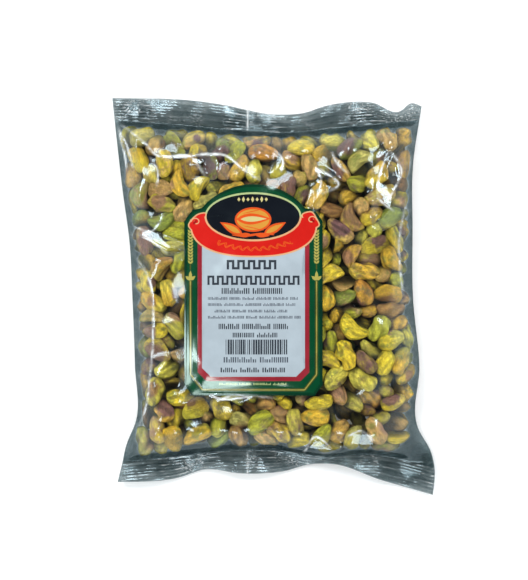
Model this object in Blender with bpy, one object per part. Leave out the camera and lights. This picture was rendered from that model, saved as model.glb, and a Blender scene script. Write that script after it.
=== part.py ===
"""Sealed pillow bag of shelled pistachio kernels, lying on its back. Metres, +Z up.

The bag is one web of clear film, lapped down the middle of its back and fused into a strip at each end. It
holds a mass of loose kernels and carries a die-cut label on its front. The origin is on the surface that the
bag lies on, under the middle of its outline. +Y points at the top strip and +X at the label's right side.
"""

import bmesh
import bpy
import numpy as np

MM = 0.001

# Driving dimensions, in millimetres.
FILM = 0.1  # the film's wall
LAP_GAP = 0.3  # between the two layers of the lapped back seam
LAP_HALF_WIDTH = 5.0
HALF_WIDTH = 82.0  # the bag's, at its middle
PILLOW_HEIGHT = 29.0  # over the kernels, at the middle
EDGE_LIFT = 5.0  # how high the side folds and the end strips stand
FLAT_SHARE = 0.76  # the share of the back's half width and half length that lies flat
PROFILE_POWER = 4.0  # how boxy the pillow is: 2 is an ellipse
STRIP_RIPPLE = 3.0  # how far the end strips wave up and down
RIPPLE_PITCH = 62.0
TOUCH_GAP = 0.3  # between pieces that rest on each other
FOLD_INSET = 0.3  # how far inside each fold the film's inner layer turns
LAP_SLOPE_LIFT = 0.5  # how much of the lap's lift is left one column beyond its outer edge
FILL_CLEARANCE = 1.0  # between the kernels' outer shape and the film
FILL_SHARE = 0.95  # the share of the pouch's half width and half length that the kernels reach
LABEL_THICKNESS = 0.15

COLUMNS = 24  # of the film's faces, from side fold to side fold
POUCH_ROWS = 26
STRIP_ROWS = 2
FOLD_CROWDING = 0.8  # how much closer the faces are towards the folds and the strips
SHARP_ANGLE = 40.0  # degrees between faces, from which an edge looks sharp
SETTLING_ROUNDS = 6  # of placing the grid's rows and columns on the outlines
LABEL_PITCH = 7.0  # the longest side of the label's faces

# Half outlines as (along, out) points in millimetres, joined by smooth curves.
LEFT_FOLD = [
    *[(-107, -90), (-97, -87.5), (-86, -85), (-72, -79.5), (-40, -80), (0, -81.5), (30, -83), (60, -87)],
    (115, -93.2),
]
RIGHT_FOLD = [
    *[(-115, 92), (-100, 93.1), (-90, 91), (-76, 83.5), (-40, 84.2), (0, 80.5), (40, 80.3), (75, 80.5)],
    (110, 85.5),
]
TOP_EDGE = [
    *[(-93, 114.7), (-60, 114), (-28, 110.5), (2, 105), (16, 105.5), (32, 110.5), (57, 112), (73, 106.8)],
    *[(79, 111.3), (86, 109.5)],
]
BOTTOM_EDGE = [
    *[(-90, -107.2), (-56, -105), (-39, -100), (-20, -102), (6, -101), (22, -97), (36, -97), (62, -106)],
    (92, -114.7),
]
TOP_SEAL = [(-93, 101.5), (-60, 99.5), (-15, 95.5), (4, 94.5), (38, 97.5), (66, 100), (86, 102)]
BOTTOM_SEAL = [(-90, -96), (-60, -93), (-23, -89), (7, -89.5), (28, -92.5), (56, -91), (92, -98.5)]

# The label's die-cut outline: an arch on two shoulders, with cut corners below.
LABEL_X, LABEL_Y = -11.5, 3.75  # its middle
LABEL_CORNER = [(34.8, -60.25), (39.4, -54.0)]  # the right one's cut, as (x, y) points from the middle
LABEL_SHOULDER = [(39.4, 39.0), (34.7, 45.6), (29.5, 46.5)]  # the right one, up to where the arch starts
LABEL_TOP = 60.25
ARCH_STEPS = 6  # in each half of the arch


def smooth(points, along):
    """The smooth curve through points, a cubic in each span, read at along."""
    knots, values = np.array(points, float).T
    slopes = np.gradient(values, knots)
    span = np.clip(np.searchsorted(knots, along) - 1, 0, len(knots) - 2)
    width = knots[span + 1] - knots[span]
    f = np.clip((along - knots[span]) / width, 0, 1)
    start, end = values[span], values[span + 1]
    rise = slopes[span] * width * f * (1 - f) ** 2
    fall = slopes[span + 1] * width * f**2 * (1 - f)
    return start + (end - start) * f**2 * (3 - 2 * f) + rise - fall


def ease(value, low, high):
    f = np.clip((value - low) / (high - low), 0, 1)
    return f * f * (3 - 2 * f)


def across(x, y):
    """From -1 at the left fold to 1 at the right one."""
    left, right = smooth(LEFT_FOLD, y), smooth(RIGHT_FOLD, y)
    return np.clip((2 * x - left - right) / (right - left), -1, 1)


def lengthwise(x, y):
    """From -1 at the bottom strip to 1 at the top one."""
    bottom, top = smooth(BOTTOM_SEAL, x), smooth(TOP_SEAL, x)
    return np.clip((2 * y - bottom - top) / (top - bottom), -1, 1)


def back_height(x, y):
    """The underside: flat in the middle, lifted at the folds and the strips."""
    side = ease(np.abs(across(x, y)), FLAT_SHARE, 1)
    end = ease(np.abs(lengthwise(x, y)), FLAT_SHARE, 1)
    return EDGE_LIFT * (1 - (1 - side) * (1 - end))


def pouch_depth(x, y):
    """How far the front stands above the back."""
    side = np.sqrt(1 - np.abs(across(x, y)) ** PROFILE_POWER)
    end = np.sqrt(1 - np.abs(lengthwise(x, y)) ** PROFILE_POWER)
    return PILLOW_HEIGHT * side * end


def strip_wave(x, y):
    """How far an end strip waves, growing from its seal line to its free edge."""
    top, high, low, bottom = (smooth(line, x) for line in (TOP_EDGE, TOP_SEAL, BOTTOM_SEAL, BOTTOM_EDGE))
    top_reach = np.clip((y - high) / (top - high), 0, 1)
    bottom_reach = np.clip((low - y) / (low - bottom), 0, 1)
    wave = np.sin(2 * np.pi * x / RIPPLE_PITCH)
    return STRIP_RIPPLE * wave * (top_reach - bottom_reach)


def shares(count):
    """count + 1 places from -1 to 1, closer together towards the ends, where the pillow curves most."""
    even = np.linspace(-1, 1, count + 1)
    return (1 - FOLD_CROWDING) * even + FOLD_CROWDING * np.sin(even * np.pi / 2)


def grid_points():
    """(x, y) of the film's grid: columns from fold to fold, rows from the bottom edge to the top edge.

    A row lies along each seal line. Rows depend on x and columns on y, so a few rounds settle them.
    """
    share = shares(COLUMNS)[:, None]
    strip = np.arange(STRIP_ROWS) / STRIP_ROWS
    station = np.concatenate([strip, 1.5 + shares(POUCH_ROWS) / 2, 2 + strip + 1 / STRIP_ROWS])
    in_bottom, in_pouch, in_top = (np.clip(station - k, 0, 1) for k in range(3))
    x = HALF_WIDTH * share + np.zeros(len(station))
    for _ in range(SETTLING_ROUNDS):
        bottom, low, high, top = (smooth(line, x) for line in (BOTTOM_EDGE, BOTTOM_SEAL, TOP_SEAL, TOP_EDGE))
        y = bottom + (low - bottom) * in_bottom + (high - low) * in_pouch + (top - high) * in_top
        left, right = smooth(LEFT_FOLD, y), smooth(RIGHT_FOLD, y)
        x = (left + right) / 2 + share * (right - left) / 2
    return x, y


def lap_columns():
    """The two columns that the lapped seam's edges run along."""
    columns = shares(COLUMNS)
    half = LAP_HALF_WIDTH / HALF_WIDTH
    return int(np.argmin(np.abs(columns + half))), int(np.argmin(np.abs(columns - half)))


def film_mesh():
    """The web as one closed surface, whose pouch opens to the outside through the gap in the lapped seam."""
    x, y = grid_points()
    first, last = lap_columns()
    low_seal, high_seal = STRIP_ROWS, STRIP_ROWS + POUCH_ROWS
    rows = y.shape[1]
    base = back_height(x, y) + strip_wave(x, y)
    lift = np.zeros(COLUMNS + 1)
    lift[first : last + 1] = 1.0
    lift[last + 1] = LAP_SLOPE_LIFT
    in_pouch = np.zeros(rows)
    in_pouch[low_seal + 1 : high_seal] = 1.0
    back_left = base
    back_right = base + lift[:, None] * (FILM + LAP_GAP * in_pouch)
    left_inner = back_left + FILM
    right_inner = back_right + FILM
    lapped = np.arange(COLUMNS + 1)[:, None] > first
    floor = np.where(lapped, right_inner, left_inner)
    depth = pouch_depth(x, y) * in_pouch
    front_inner = floor + depth
    front_outer = front_inner + FILM
    front_outer[[0, -1], :] = front_inner[[0, -1], :]

    mesh = bmesh.new()
    made = {}

    def vertex(layer, i, j):
        """Layers that meet share a vertex: at the folds, on the seal lines and at the lap's inner edge."""
        on_seal = j in (low_seal, high_seal)
        if i == 0:
            layer = {"BLo": "FO", "BLi": "FI"}.get(layer, layer)
        if i == COLUMNS:
            layer = {"BRo": "FO", "BRi": "FI"}.get(layer, layer)
        if on_seal and layer == "BLi":
            layer = "BRo" if first <= i <= last else "FI"
        if on_seal and layer == "BRi":
            layer = "FI"
        if on_seal and i == first and layer == "BRo":
            layer = "FI"
        key = (layer, i, j)
        if key not in made:
            heights = {
                "FO": front_outer,
                "FI": front_inner,
                "BRo": back_right,
                "BRi": right_inner,
                "BLo": back_left,
                "BLi": left_inner,
            }[layer]
            place = (x[i, j] + inset(layer, i), y[i, j], heights[i, j])
            made[key] = mesh.verts.new([c * MM for c in place])
        return made[key]

    def inset(layer, i):
        """The inner layer turns each fold a little inside the outer one."""
        if layer != "FI" or i not in (0, COLUMNS):
            return 0.0
        return FOLD_INSET if i == 0 else -FOLD_INSET

    def face(*corners):
        distinct = list(dict.fromkeys(vertex(*c) for c in corners))
        if len(distinct) > 2:
            mesh.faces.new(distinct)

    def cell(layer, i, j, up):
        """Two triangles. Every layer is split along the same diagonal, so that no layer cuts another."""
        low, right, high, left = (layer, i, j), (layer, i + 1, j), (layer, i + 1, j + 1), (layer, i, j + 1)
        halves = [(low, right, left), (right, high, left)]
        if (i < COLUMNS / 2) == (j < rows / 2):
            halves = [(low, right, high), (low, high, left)]
        for half in halves:
            face(*(half if up else half[::-1]))

    for j in range(rows - 1):
        pouch_row = low_seal <= j < high_seal
        for i in range(COLUMNS):
            cell("FO", i, j, up=True)
            if i < last:
                cell("BLo", i, j, up=False)
            if i >= last or (pouch_row and i >= first):
                cell("BRo", i, j, up=False)
            if pouch_row:
                cell("FI", i, j, up=False)
                if i < last:
                    cell("BLi", i, j, up=True)
                if i >= first:
                    cell("BRi", i, j, up=True)
        outer_top = "BLi" if pouch_row else "BRo"
        face(("BLo", last, j), ("BLo", last, j + 1), (outer_top, last, j + 1), (outer_top, last, j))
        if pouch_row:
            face(("BRi", first, j), ("BRi", first, j + 1), ("BRo", first, j + 1), ("BRo", first, j))
    for j, back_first in ((0, True), (rows - 1, False)):
        for i in range(COLUMNS):
            under = "BLo" if i < last else "BRo"
            loop = [(under, i, j), (under, i + 1, j), ("FO", i + 1, j), ("FO", i, j)]
            if i == last - 1:
                loop = [(under, i, j), (under, last, j), ("BRo", last, j), ("FO", last, j), ("FO", i, j)]
            face(*(loop if back_first else loop[::-1]))
    return mesh


def label_outline():
    """(x, y) of the label's edge, anticlockwise from its lower right cut corner."""
    foot_x, foot_y = LABEL_SHOULDER[-1]
    rise = LABEL_TOP - foot_y
    radius = (foot_x**2 + rise**2) / (2 * rise)
    angles = np.arcsin(foot_x / radius) * (1 - np.arange(1, ARCH_STEPS) / ARCH_STEPS)
    arch = [(radius * np.sin(a), LABEL_TOP - radius * (1 - np.cos(a))) for a in angles]
    right = LABEL_CORNER + LABEL_SHOULDER + arch
    left = [(-x, y) for x, y in reversed(right)]
    return [(x + LABEL_X, y + LABEL_Y) for x, y in [*right, (0.0, LABEL_TOP), *left]]


def label_mesh():
    """The label as a thin sheet laid over the front film."""
    mesh = bmesh.new()
    mesh.faces.new([mesh.verts.new((x, y, 0)) for x, y in label_outline()])
    for axis in (0, 1):
        low = min(v.co[axis] for v in mesh.verts)
        high = max(v.co[axis] for v in mesh.verts)
        cuts = int((high - low) / LABEL_PITCH)
        normal = [1.0 if k == axis else 0.0 for k in range(3)]
        for cut in range(1, cuts + 1):
            place = [0.0, 0.0, 0.0]
            place[axis] = low + (high - low) * cut / (cuts + 1)
            geometry = mesh.verts[:] + mesh.edges[:] + mesh.faces[:]
            bmesh.ops.bisect_plane(mesh, geom=geometry, plane_co=place, plane_no=normal)
    bmesh.ops.triangulate(mesh, faces=mesh.faces[:])
    for v in mesh.verts:
        x, y = v.co.x, v.co.y
        film_top = float(back_height(x, y) + pouch_depth(x, y)) + 2 * FILM + (FILM + LAP_GAP) + TOUCH_GAP
        v.co = (x * MM, y * MM, film_top * MM)
    sheet = bmesh.ops.extrude_face_region(mesh, geom=mesh.faces[:])
    for v in [g for g in sheet["geom"] if isinstance(g, bmesh.types.BMVert)]:
        v.co.z += LABEL_THICKNESS * MM
    bmesh.ops.recalc_face_normals(mesh, faces=mesh.faces[:])
    return mesh


def fill_mesh():
    """The outer shape of the kernels together, a pillow that stays clear of the film all round."""
    x, y = grid_points()
    low, high = STRIP_ROWS, STRIP_ROWS + POUCH_ROWS
    x, y = x[:, low : high + 1], y[:, low : high + 1]
    centre_x, centre_y = (x[0] + x[-1]) / 2, (y[:, :1] + y[:, -1:]) / 2
    x = centre_x + FILL_SHARE * (x - centre_x)
    y = centre_y + FILL_SHARE * (y - centre_y)
    lower = back_height(x, y) + 2 * FILM + LAP_GAP + FILL_CLEARANCE
    upper = back_height(x, y) + pouch_depth(x, y) - FILL_CLEARANCE
    upper = np.maximum(upper, lower + FILL_CLEARANCE)
    mesh = bmesh.new()
    sheets = []
    for heights in (lower, upper):
        places = np.stack([x, y, heights], axis=-1) * MM
        sheets.append([[mesh.verts.new(p) for p in column] for column in places])
    under, over = sheets
    columns, rows = x.shape
    for i in range(columns - 1):
        for j in range(rows - 1):
            mesh.faces.new([over[i][j], over[i + 1][j], over[i + 1][j + 1], over[i][j + 1]])
            mesh.faces.new([under[i][j], under[i][j + 1], under[i + 1][j + 1], under[i + 1][j]])
    for i in range(columns - 1):
        mesh.faces.new([under[i][0], under[i + 1][0], over[i + 1][0], over[i][0]])
        mesh.faces.new([under[i + 1][-1], under[i][-1], over[i][-1], over[i + 1][-1]])
    for j in range(rows - 1):
        mesh.faces.new([under[0][j + 1], under[0][j], over[0][j], over[0][j + 1]])
        mesh.faces.new([under[-1][j], under[-1][j + 1], over[-1][j + 1], over[-1][j]])
    return mesh


def material(name, colour, roughness, alpha=1.0):
    made = bpy.data.materials.new(name)
    made.use_nodes = True
    shader = made.node_tree.nodes["Principled BSDF"]
    shader.inputs["Base Color"].default_value = (*colour, 1)
    shader.inputs["Roughness"].default_value = roughness
    shader.inputs["Metallic"].default_value = 0.0
    shader.inputs["Alpha"].default_value = alpha
    return made


def add(name, mesh, finish):
    data = bpy.data.meshes.new(name)
    mesh.to_mesh(data)
    mesh.free()
    data.materials.append(finish)
    data.shade_smooth()
    data.set_sharp_from_angle(angle=np.radians(SHARP_ANGLE))
    made = bpy.data.objects.new(name, data)
    bpy.context.scene.collection.objects.link(made)
    return made


def main():
    for old in list(bpy.data.objects):
        bpy.data.objects.remove(old)
    add("bag_film", film_mesh(), material("clear film", (0.62, 0.68, 0.67), 0.08, alpha=0.3))
    add("pistachio_kernels", fill_mesh(), material("pistachio", (0.42, 0.36, 0.08), 0.55))
    add("front_label", label_mesh(), material("label", (0.02, 0.20, 0.09), 0.35))


main()
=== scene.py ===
"""The looks of a sealed clear bag of shelled pistachio kernels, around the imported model. +Z up.

Lengths are in millimetres until a mesh is made, and the bag's outlines are those of the CAD model.
"""

import math

import bpy
import numpy as np
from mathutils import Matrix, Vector, geometry
from mathutils.bvhtree import BVHTree


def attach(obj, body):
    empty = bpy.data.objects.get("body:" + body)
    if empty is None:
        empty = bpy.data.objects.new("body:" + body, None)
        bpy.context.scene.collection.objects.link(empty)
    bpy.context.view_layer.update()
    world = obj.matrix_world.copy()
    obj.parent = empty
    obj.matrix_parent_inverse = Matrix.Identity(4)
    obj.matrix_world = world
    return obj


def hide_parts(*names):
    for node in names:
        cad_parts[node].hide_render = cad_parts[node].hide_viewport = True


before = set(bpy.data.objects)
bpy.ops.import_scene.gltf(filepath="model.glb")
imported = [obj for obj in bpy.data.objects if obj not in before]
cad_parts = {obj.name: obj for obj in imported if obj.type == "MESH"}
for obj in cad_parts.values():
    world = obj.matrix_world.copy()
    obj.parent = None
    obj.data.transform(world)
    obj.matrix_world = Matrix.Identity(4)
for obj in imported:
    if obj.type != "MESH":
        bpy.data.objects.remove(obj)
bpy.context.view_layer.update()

MM = 0.001

# ---------------------------------------------------------------- the bag's shape, as the CAD model has it

FILM = 0.1
PILLOW_HEIGHT = 29.0
EDGE_LIFT = 5.0
FLAT_SHARE = 0.76
PROFILE_POWER = 4.0
STRIP_RIPPLE = 3.0
RIPPLE_PITCH = 62.0
HALF_WIDTH = 82.0

# Half outlines as (along, out) points, joined by smooth curves.
LEFT_FOLD = [
    *[(-107, -90), (-97, -87.5), (-86, -85), (-72, -79.5), (-40, -80), (0, -81.5), (30, -83), (60, -87)],
    (115, -93.2),
]
RIGHT_FOLD = [
    *[(-115, 92), (-100, 93.1), (-90, 91), (-76, 83.5), (-40, 84.2), (0, 80.5), (40, 80.3), (75, 80.5)],
    (110, 85.5),
]
TOP_EDGE = [
    *[(-93, 114.7), (-60, 114), (-28, 110.5), (2, 105), (16, 105.5), (32, 110.5), (57, 112), (73, 106.8)],
    *[(79, 111.3), (86, 109.5)],
]
BOTTOM_EDGE = [
    *[(-90, -107.2), (-56, -105), (-39, -100), (-20, -102), (6, -101), (22, -97), (36, -97), (62, -106)],
    (92, -114.7),
]
TOP_SEAL = [(-93, 101.5), (-60, 99.5), (-15, 95.5), (4, 94.5), (38, 97.5), (66, 100), (86, 102)]
BOTTOM_SEAL = [(-90, -96), (-60, -93), (-23, -89), (7, -89.5), (28, -92.5), (56, -91), (92, -98.5)]

LABEL_X, LABEL_Y = -11.5, 3.75
LABEL_CORNER = [(34.8, -60.25), (39.4, -54.0)]
LABEL_SHOULDER = [(39.4, 39.0), (34.7, 45.6), (29.5, 46.5)]
LABEL_TOP = 60.25
LABEL_THICKNESS = 0.15
LABEL_LEFT, LABEL_LOW = LABEL_X - LABEL_CORNER[1][0], LABEL_Y + LABEL_CORNER[0][1]


def smooth(points, along):
    """The smooth curve through points, a cubic in each span, read at along."""
    knots, values = np.array(points, float).T
    slopes = np.gradient(values, knots)
    span = np.clip(np.searchsorted(knots, along) - 1, 0, len(knots) - 2)
    width = knots[span + 1] - knots[span]
    f = np.clip((along - knots[span]) / width, 0, 1)
    start, end = values[span], values[span + 1]
    rise = slopes[span] * width * f * (1 - f) ** 2
    fall = slopes[span + 1] * width * f**2 * (1 - f)
    return start + (end - start) * f**2 * (3 - 2 * f) + rise - fall


def ease(value, low, high):
    """From 0 at low to 1 at high, level at both."""
    f = np.clip((value - low) / (high - low), 0, 1)
    return f * f * (3 - 2 * f)


def across(x, y):
    """From -1 at the left fold to 1 at the right one."""
    left, right = smooth(LEFT_FOLD, y), smooth(RIGHT_FOLD, y)
    return np.clip((2 * x - left - right) / (right - left), -1, 1)


def lengthwise(x, y):
    """From -1 at the bottom strip to 1 at the top one."""
    bottom, top = smooth(BOTTOM_SEAL, x), smooth(TOP_SEAL, x)
    return np.clip((2 * y - bottom - top) / (top - bottom), -1, 1)


def back_height(x, y):
    """The underside: flat in the middle, lifted at the folds and the strips."""
    side = ease(np.abs(across(x, y)), FLAT_SHARE, 1)
    end = ease(np.abs(lengthwise(x, y)), FLAT_SHARE, 1)
    return EDGE_LIFT * (1 - (1 - side) * (1 - end))


def pouch_depth(x, y):
    """How far the front stands above the back."""
    side = np.sqrt(1 - np.abs(across(x, y)) ** PROFILE_POWER)
    end = np.sqrt(1 - np.abs(lengthwise(x, y)) ** PROFILE_POWER)
    return PILLOW_HEIGHT * side * end


def end_lines(x):
    """The y of the top edge, of the top and the bottom seal line and of the bottom edge."""
    return [smooth(line, x) for line in (TOP_EDGE, TOP_SEAL, BOTTOM_SEAL, BOTTOM_EDGE)]


def strip_reach(x, y):
    """How far out in the top and in the bottom strip a place is, from 0 on the seal line to 1 on the edge."""
    top, high, low, bottom = end_lines(x)
    return np.clip((y - high) / (top - high), 0, 1), np.clip((low - y) / (low - bottom), 0, 1)


def strip_wave(x, y):
    """How far a strip's wave lifts a place."""
    top_reach, bottom_reach = strip_reach(x, y)
    return STRIP_RIPPLE * np.sin(2 * np.pi * x / RIPPLE_PITCH) * (top_reach - bottom_reach)


# ---------------------------------------------------------------- the camera's and the lamps' places

VIEW_HEIGHT = 333.5
VIEW_X, VIEW_Y, VIEW_Z = -5.5, 3.7, 12.0
LENS, SENSOR = 120.0, 24.0
CAMERA_PLACE = np.array([VIEW_X, VIEW_Y, VIEW_Z + VIEW_HEIGHT * LENS / SENSOR]) * MM
LAMP_LEAN = 36
LAMP_DISTANCE = 1.3


def lamp_place(turn):
    """A place above the bag, at a turn about +Z in degrees."""
    turn, lean = math.radians(turn), math.radians(LAMP_LEAN)
    flat = math.sin(lean)
    return LAMP_DISTANCE * np.array([flat * math.cos(turn), flat * math.sin(turn), math.cos(lean)])


# ---------------------------------------------------------------- meshes and heights


def mesh_piece(name, points, faces, materials, face_materials=None):
    """An object that rides on the bag. Its points are an array of (x, y, z) in millimetres."""
    data = bpy.data.meshes.new(name)
    data.vertices.add(len(points))
    data.vertices.foreach_set("co", (np.asarray(points) * MM).astype(np.float32).ravel())
    count, corners = faces.shape
    data.loops.add(count * corners)
    data.polygons.add(count)
    data.polygons.foreach_set("loop_start", np.arange(0, count * corners, corners, dtype=np.int32))
    data.loops.foreach_set("vertex_index", faces.astype(np.int32).ravel())
    data.update(calc_edges=True)
    data.validate()
    for material in materials:
        data.materials.append(material)
    if face_materials is not None:
        data.polygons.foreach_set("material_index", np.asarray(face_materials, np.int32))
    data.shade_smooth()
    made = bpy.data.objects.new(name, data)
    bpy.context.scene.collection.objects.link(made)
    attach(made, "root")
    return made


def point_attribute(piece, name, values):
    """Writes a number, a place or a colour for each of the piece's points."""
    values = np.asarray(values, np.float32).reshape(len(piece.data.vertices), -1)
    kinds = {1: ("FLOAT", "value"), 3: ("FLOAT_VECTOR", "vector"), 4: ("FLOAT_COLOR", "color")}
    kind, field = kinds[values.shape[1]]
    piece.data.attributes.new(name, kind, "POINT").data.foreach_set(field, values.ravel())


def inside(outline, x, y):
    """Which places lie inside an outline."""
    spots = np.array(outline, float)
    within = np.zeros(np.shape(x), bool)
    low, high = spots.min(axis=0), spots.max(axis=0)
    near = (x > low[0]) & (x < high[0]) & (y > low[1]) & (y < high[1])
    px, py = x[near], y[near]
    odd = np.zeros(len(px), bool)
    for (ax, ay), (bx, by) in zip(spots, np.roll(spots, -1, axis=0)):
        if ay != by:
            odd ^= ((ay > py) != (by > py)) & (px < (bx - ax) * (py - ay) / (by - ay) + ax)
    within[near] = odd
    return within


def from_segment(x, y, start, end):
    """How far along a segment each place lies, from 0 to 1, and how far from it."""
    (ax, ay), (bx, by) = start, end
    length_sq = (bx - ax) ** 2 + (by - ay) ** 2
    f = np.clip(((x - ax) * (bx - ax) + (y - ay) * (by - ay)) / length_sq, 0, 1)
    return f, np.hypot(x - ax - f * (bx - ax), y - ay - f * (by - ay))


class HeightMap:
    """Heights on an even grid over the bag, read between the grid's points."""

    pitch = 0.75
    low = np.array([-99.0, -121.0])
    shape = (265, 323)

    def __init__(self, values):
        self.values = np.array(values, float)

    @classmethod
    def places(cls):
        """The x and the y of the grid's points."""
        i, j = np.meshgrid(np.arange(cls.shape[0]), np.arange(cls.shape[1]), indexing="ij")
        return cls.low[0] + cls.pitch * i, cls.low[1] + cls.pitch * j

    def at(self, x, y):
        """The heights at any places, a blend of the four grid points around each."""
        u = np.clip((np.asarray(x) - self.low[0]) / self.pitch, 0, self.shape[0] - 1.001)
        v = np.clip((np.asarray(y) - self.low[1]) / self.pitch, 0, self.shape[1] - 1.001)
        i, j = u.astype(int), v.astype(int)
        f, g = u - i, v - j
        h = self.values
        near = h[i, j] * (1 - f) + h[i + 1, j] * f
        far = h[i, j + 1] * (1 - f) + h[i + 1, j + 1] * f
        return near * (1 - g) + far * g

    def blurred(self, reach):
        """The same heights, averaged over about reach millimetres."""
        steps = max(1, int(round(reach / self.pitch)))
        kernel = np.hanning(2 * steps + 3)[1:-1]
        kernel /= kernel.sum()
        padded = np.pad(self.values, steps, mode="edge")
        once = sum(w * padded[k : k + self.shape[0], :] for k, w in enumerate(kernel))
        twice = sum(w * once[:, k : k + self.shape[1]] for k, w in enumerate(kernel))
        return HeightMap(twice)


# ---------------------------------------------------------------- the kernels: how they lie in the bag

KERNEL_COUNT = 584
KERNEL_LENGTH, KERNEL_WIDTH, KERNEL_THICKNESS = 16.2, 10.0, 9.0
KERNEL_VARIANTS = 14
PACKING_SEED = 11
PACKING_ROUNDS = 420
GROWING_ROUNDS = 260
PAIRING_ROUNDS = 10
FILM_CLEARANCE = 0.8
FLOOR_CLEARANCE = 1.8
FILLED_WIDTH, FILLED_LENGTH = 0.99, 0.995  # how far towards the folds and the strips the kernels lie
KERNEL_LIMIT = 0.972  # how near to the folds and the strips a kernel's own bumps reach
KERNEL_LOW = 0.5  # how near to the back
HEAP_POWER = 6.0  # how full the heap's sides and corners are
RIM_DIP, RIM_DIP_REACH = 3.0, 11.0  # how much lower it is under the label's bent rims, and how far in
SIZE_SPREAD, LEAST_SIZE, MOST_SIZE = 0.06, 0.86, 1.14
MIDDLE_BALL, END_BALL = 0.97, 0.78  # shares of a kernel's half width and of its middle ball
START_X, START_Y = (-84, 84), (-98, 102)  # where the kernels' middles start
START_DEPTH, START_SPARE = 22, 4  # fewer of them start where the bag is thin
KERNEL_TILT = 0.22
START_GROWTH, LATER_GROWTH = 0.55, 0.45
CONTACT_SHARE = 0.45  # how strongly many contacts damp a ball's move
SINKING = 0.02  # how far the kernels sink in a round
NEAR = 1.5  # balls with a smaller gap are listed as pairs
LONGEST_MOVE = 1.5
LEAST_SLOPE_SQ = 0.25
HOLDING_ROUNDS = 3
BAG_HALF_WIDTH, BAG_HALF_LENGTH = 86, 96  # roughly, between the folds and between the strips


def rim_share(x, y, reach):
    """How near a place is to the label's left and lower rims, which bend down: 0 beyond reach."""
    side = np.clip((LABEL_LEFT + reach - x) / reach, 0, 1.3) * ease(x, LABEL_LEFT - 18, LABEL_LEFT - 3)
    side = side * (1 - ease(y, -30, -12)) * ease(y, LABEL_LOW - 12, LABEL_LOW)
    foot = np.clip((LABEL_LOW + reach - y) / reach, 0, 1.3) * ease(y, LABEL_LOW - 16, LABEL_LOW - 3)
    foot = foot * (1 - ease(x, -16, 2)) * ease(x, LABEL_LEFT - 12, LABEL_LEFT)
    return np.maximum(side, foot)


def ball_reach(heights, radius, sign):
    """Where a ball's middle can go: above the heights for sign 1, below them for sign -1."""
    steps = int(radius / HeightMap.pitch)
    grown = None
    padded = np.pad(sign * heights, steps, mode="edge")
    rows, columns = heights.shape
    for di in range(-steps, steps + 1):
        for dj in range(-steps, steps + 1):
            across_sq = (di * di + dj * dj) * HeightMap.pitch**2
            if across_sq > radius * radius:
                continue
            part = padded[steps + di : steps + di + rows, steps + dj : steps + dj + columns]
            lifted = part + math.sqrt(radius * radius - across_sq)
            grown = lifted if grown is None else np.maximum(grown, lifted)
    return sign * grown


class Pouch:
    """The room inside the film for balls of one radius."""

    def __init__(self, radius):
        x, y = HeightMap.places()
        back = back_height(x, y)
        side = np.clip(np.abs(across(x, y)) / FILLED_WIDTH, 0, 1)
        end = np.clip(np.abs(lengthwise(x, y)) / FILLED_LENGTH, 0, 1)
        depth = PILLOW_HEIGHT * np.sqrt(1 - np.maximum(side, end) ** HEAP_POWER)
        floor = ball_reach(back + FILM + FLOOR_CLEARANCE, radius, 1)
        dip = RIM_DIP * rim_share(x, y, RIM_DIP_REACH)
        ceiling = ball_reach(back + depth - FILM_CLEARANCE - dip, radius, -1)
        self.room = HeightMap(ceiling - floor).blurred(2.0)
        self.surfaces = []
        for values, side in ((ceiling, 1), (floor, -1)):
            slope_x, slope_y = np.gradient(values, HeightMap.pitch)
            self.surfaces.append((HeightMap(values), HeightMap(slope_x), HeightMap(slope_y), side))
        self.room_x, self.room_y = (HeightMap(g) for g in np.gradient(self.room.values, HeightMap.pitch))

    def hold(self, balls):
        """Moves the balls that have left the room back along the film's slope."""
        x, y = balls[:, 0], balls[:, 1]
        moved = np.zeros_like(balls)
        for heights, slope_x, slope_y, side in self.surfaces:
            past = np.maximum(side * (balls[:, 2] - heights.at(x, y)), 0)
            gx, gy = slope_x.at(x, y), slope_y.at(x, y)
            share = past / (1 + gx * gx + gy * gy)
            moved += side * share[:, None] * np.stack([gx, gy, -np.ones_like(gx)], axis=1)
        no_room = np.maximum(-self.room.at(x, y), 0)
        gx, gy = self.room_x.at(x, y), self.room_y.at(x, y)
        inwards = no_room / np.maximum(gx * gx + gy * gy, LEAST_SLOPE_SQ)
        moved[:, 0] += np.minimum(inwards, LONGEST_MOVE) * gx
        moved[:, 1] += np.minimum(inwards, LONGEST_MOVE) * gy
        length = np.linalg.norm(moved, axis=1, keepdims=True)
        return moved * np.minimum(1, LONGEST_MOVE / np.maximum(length, 1e-9))


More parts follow.
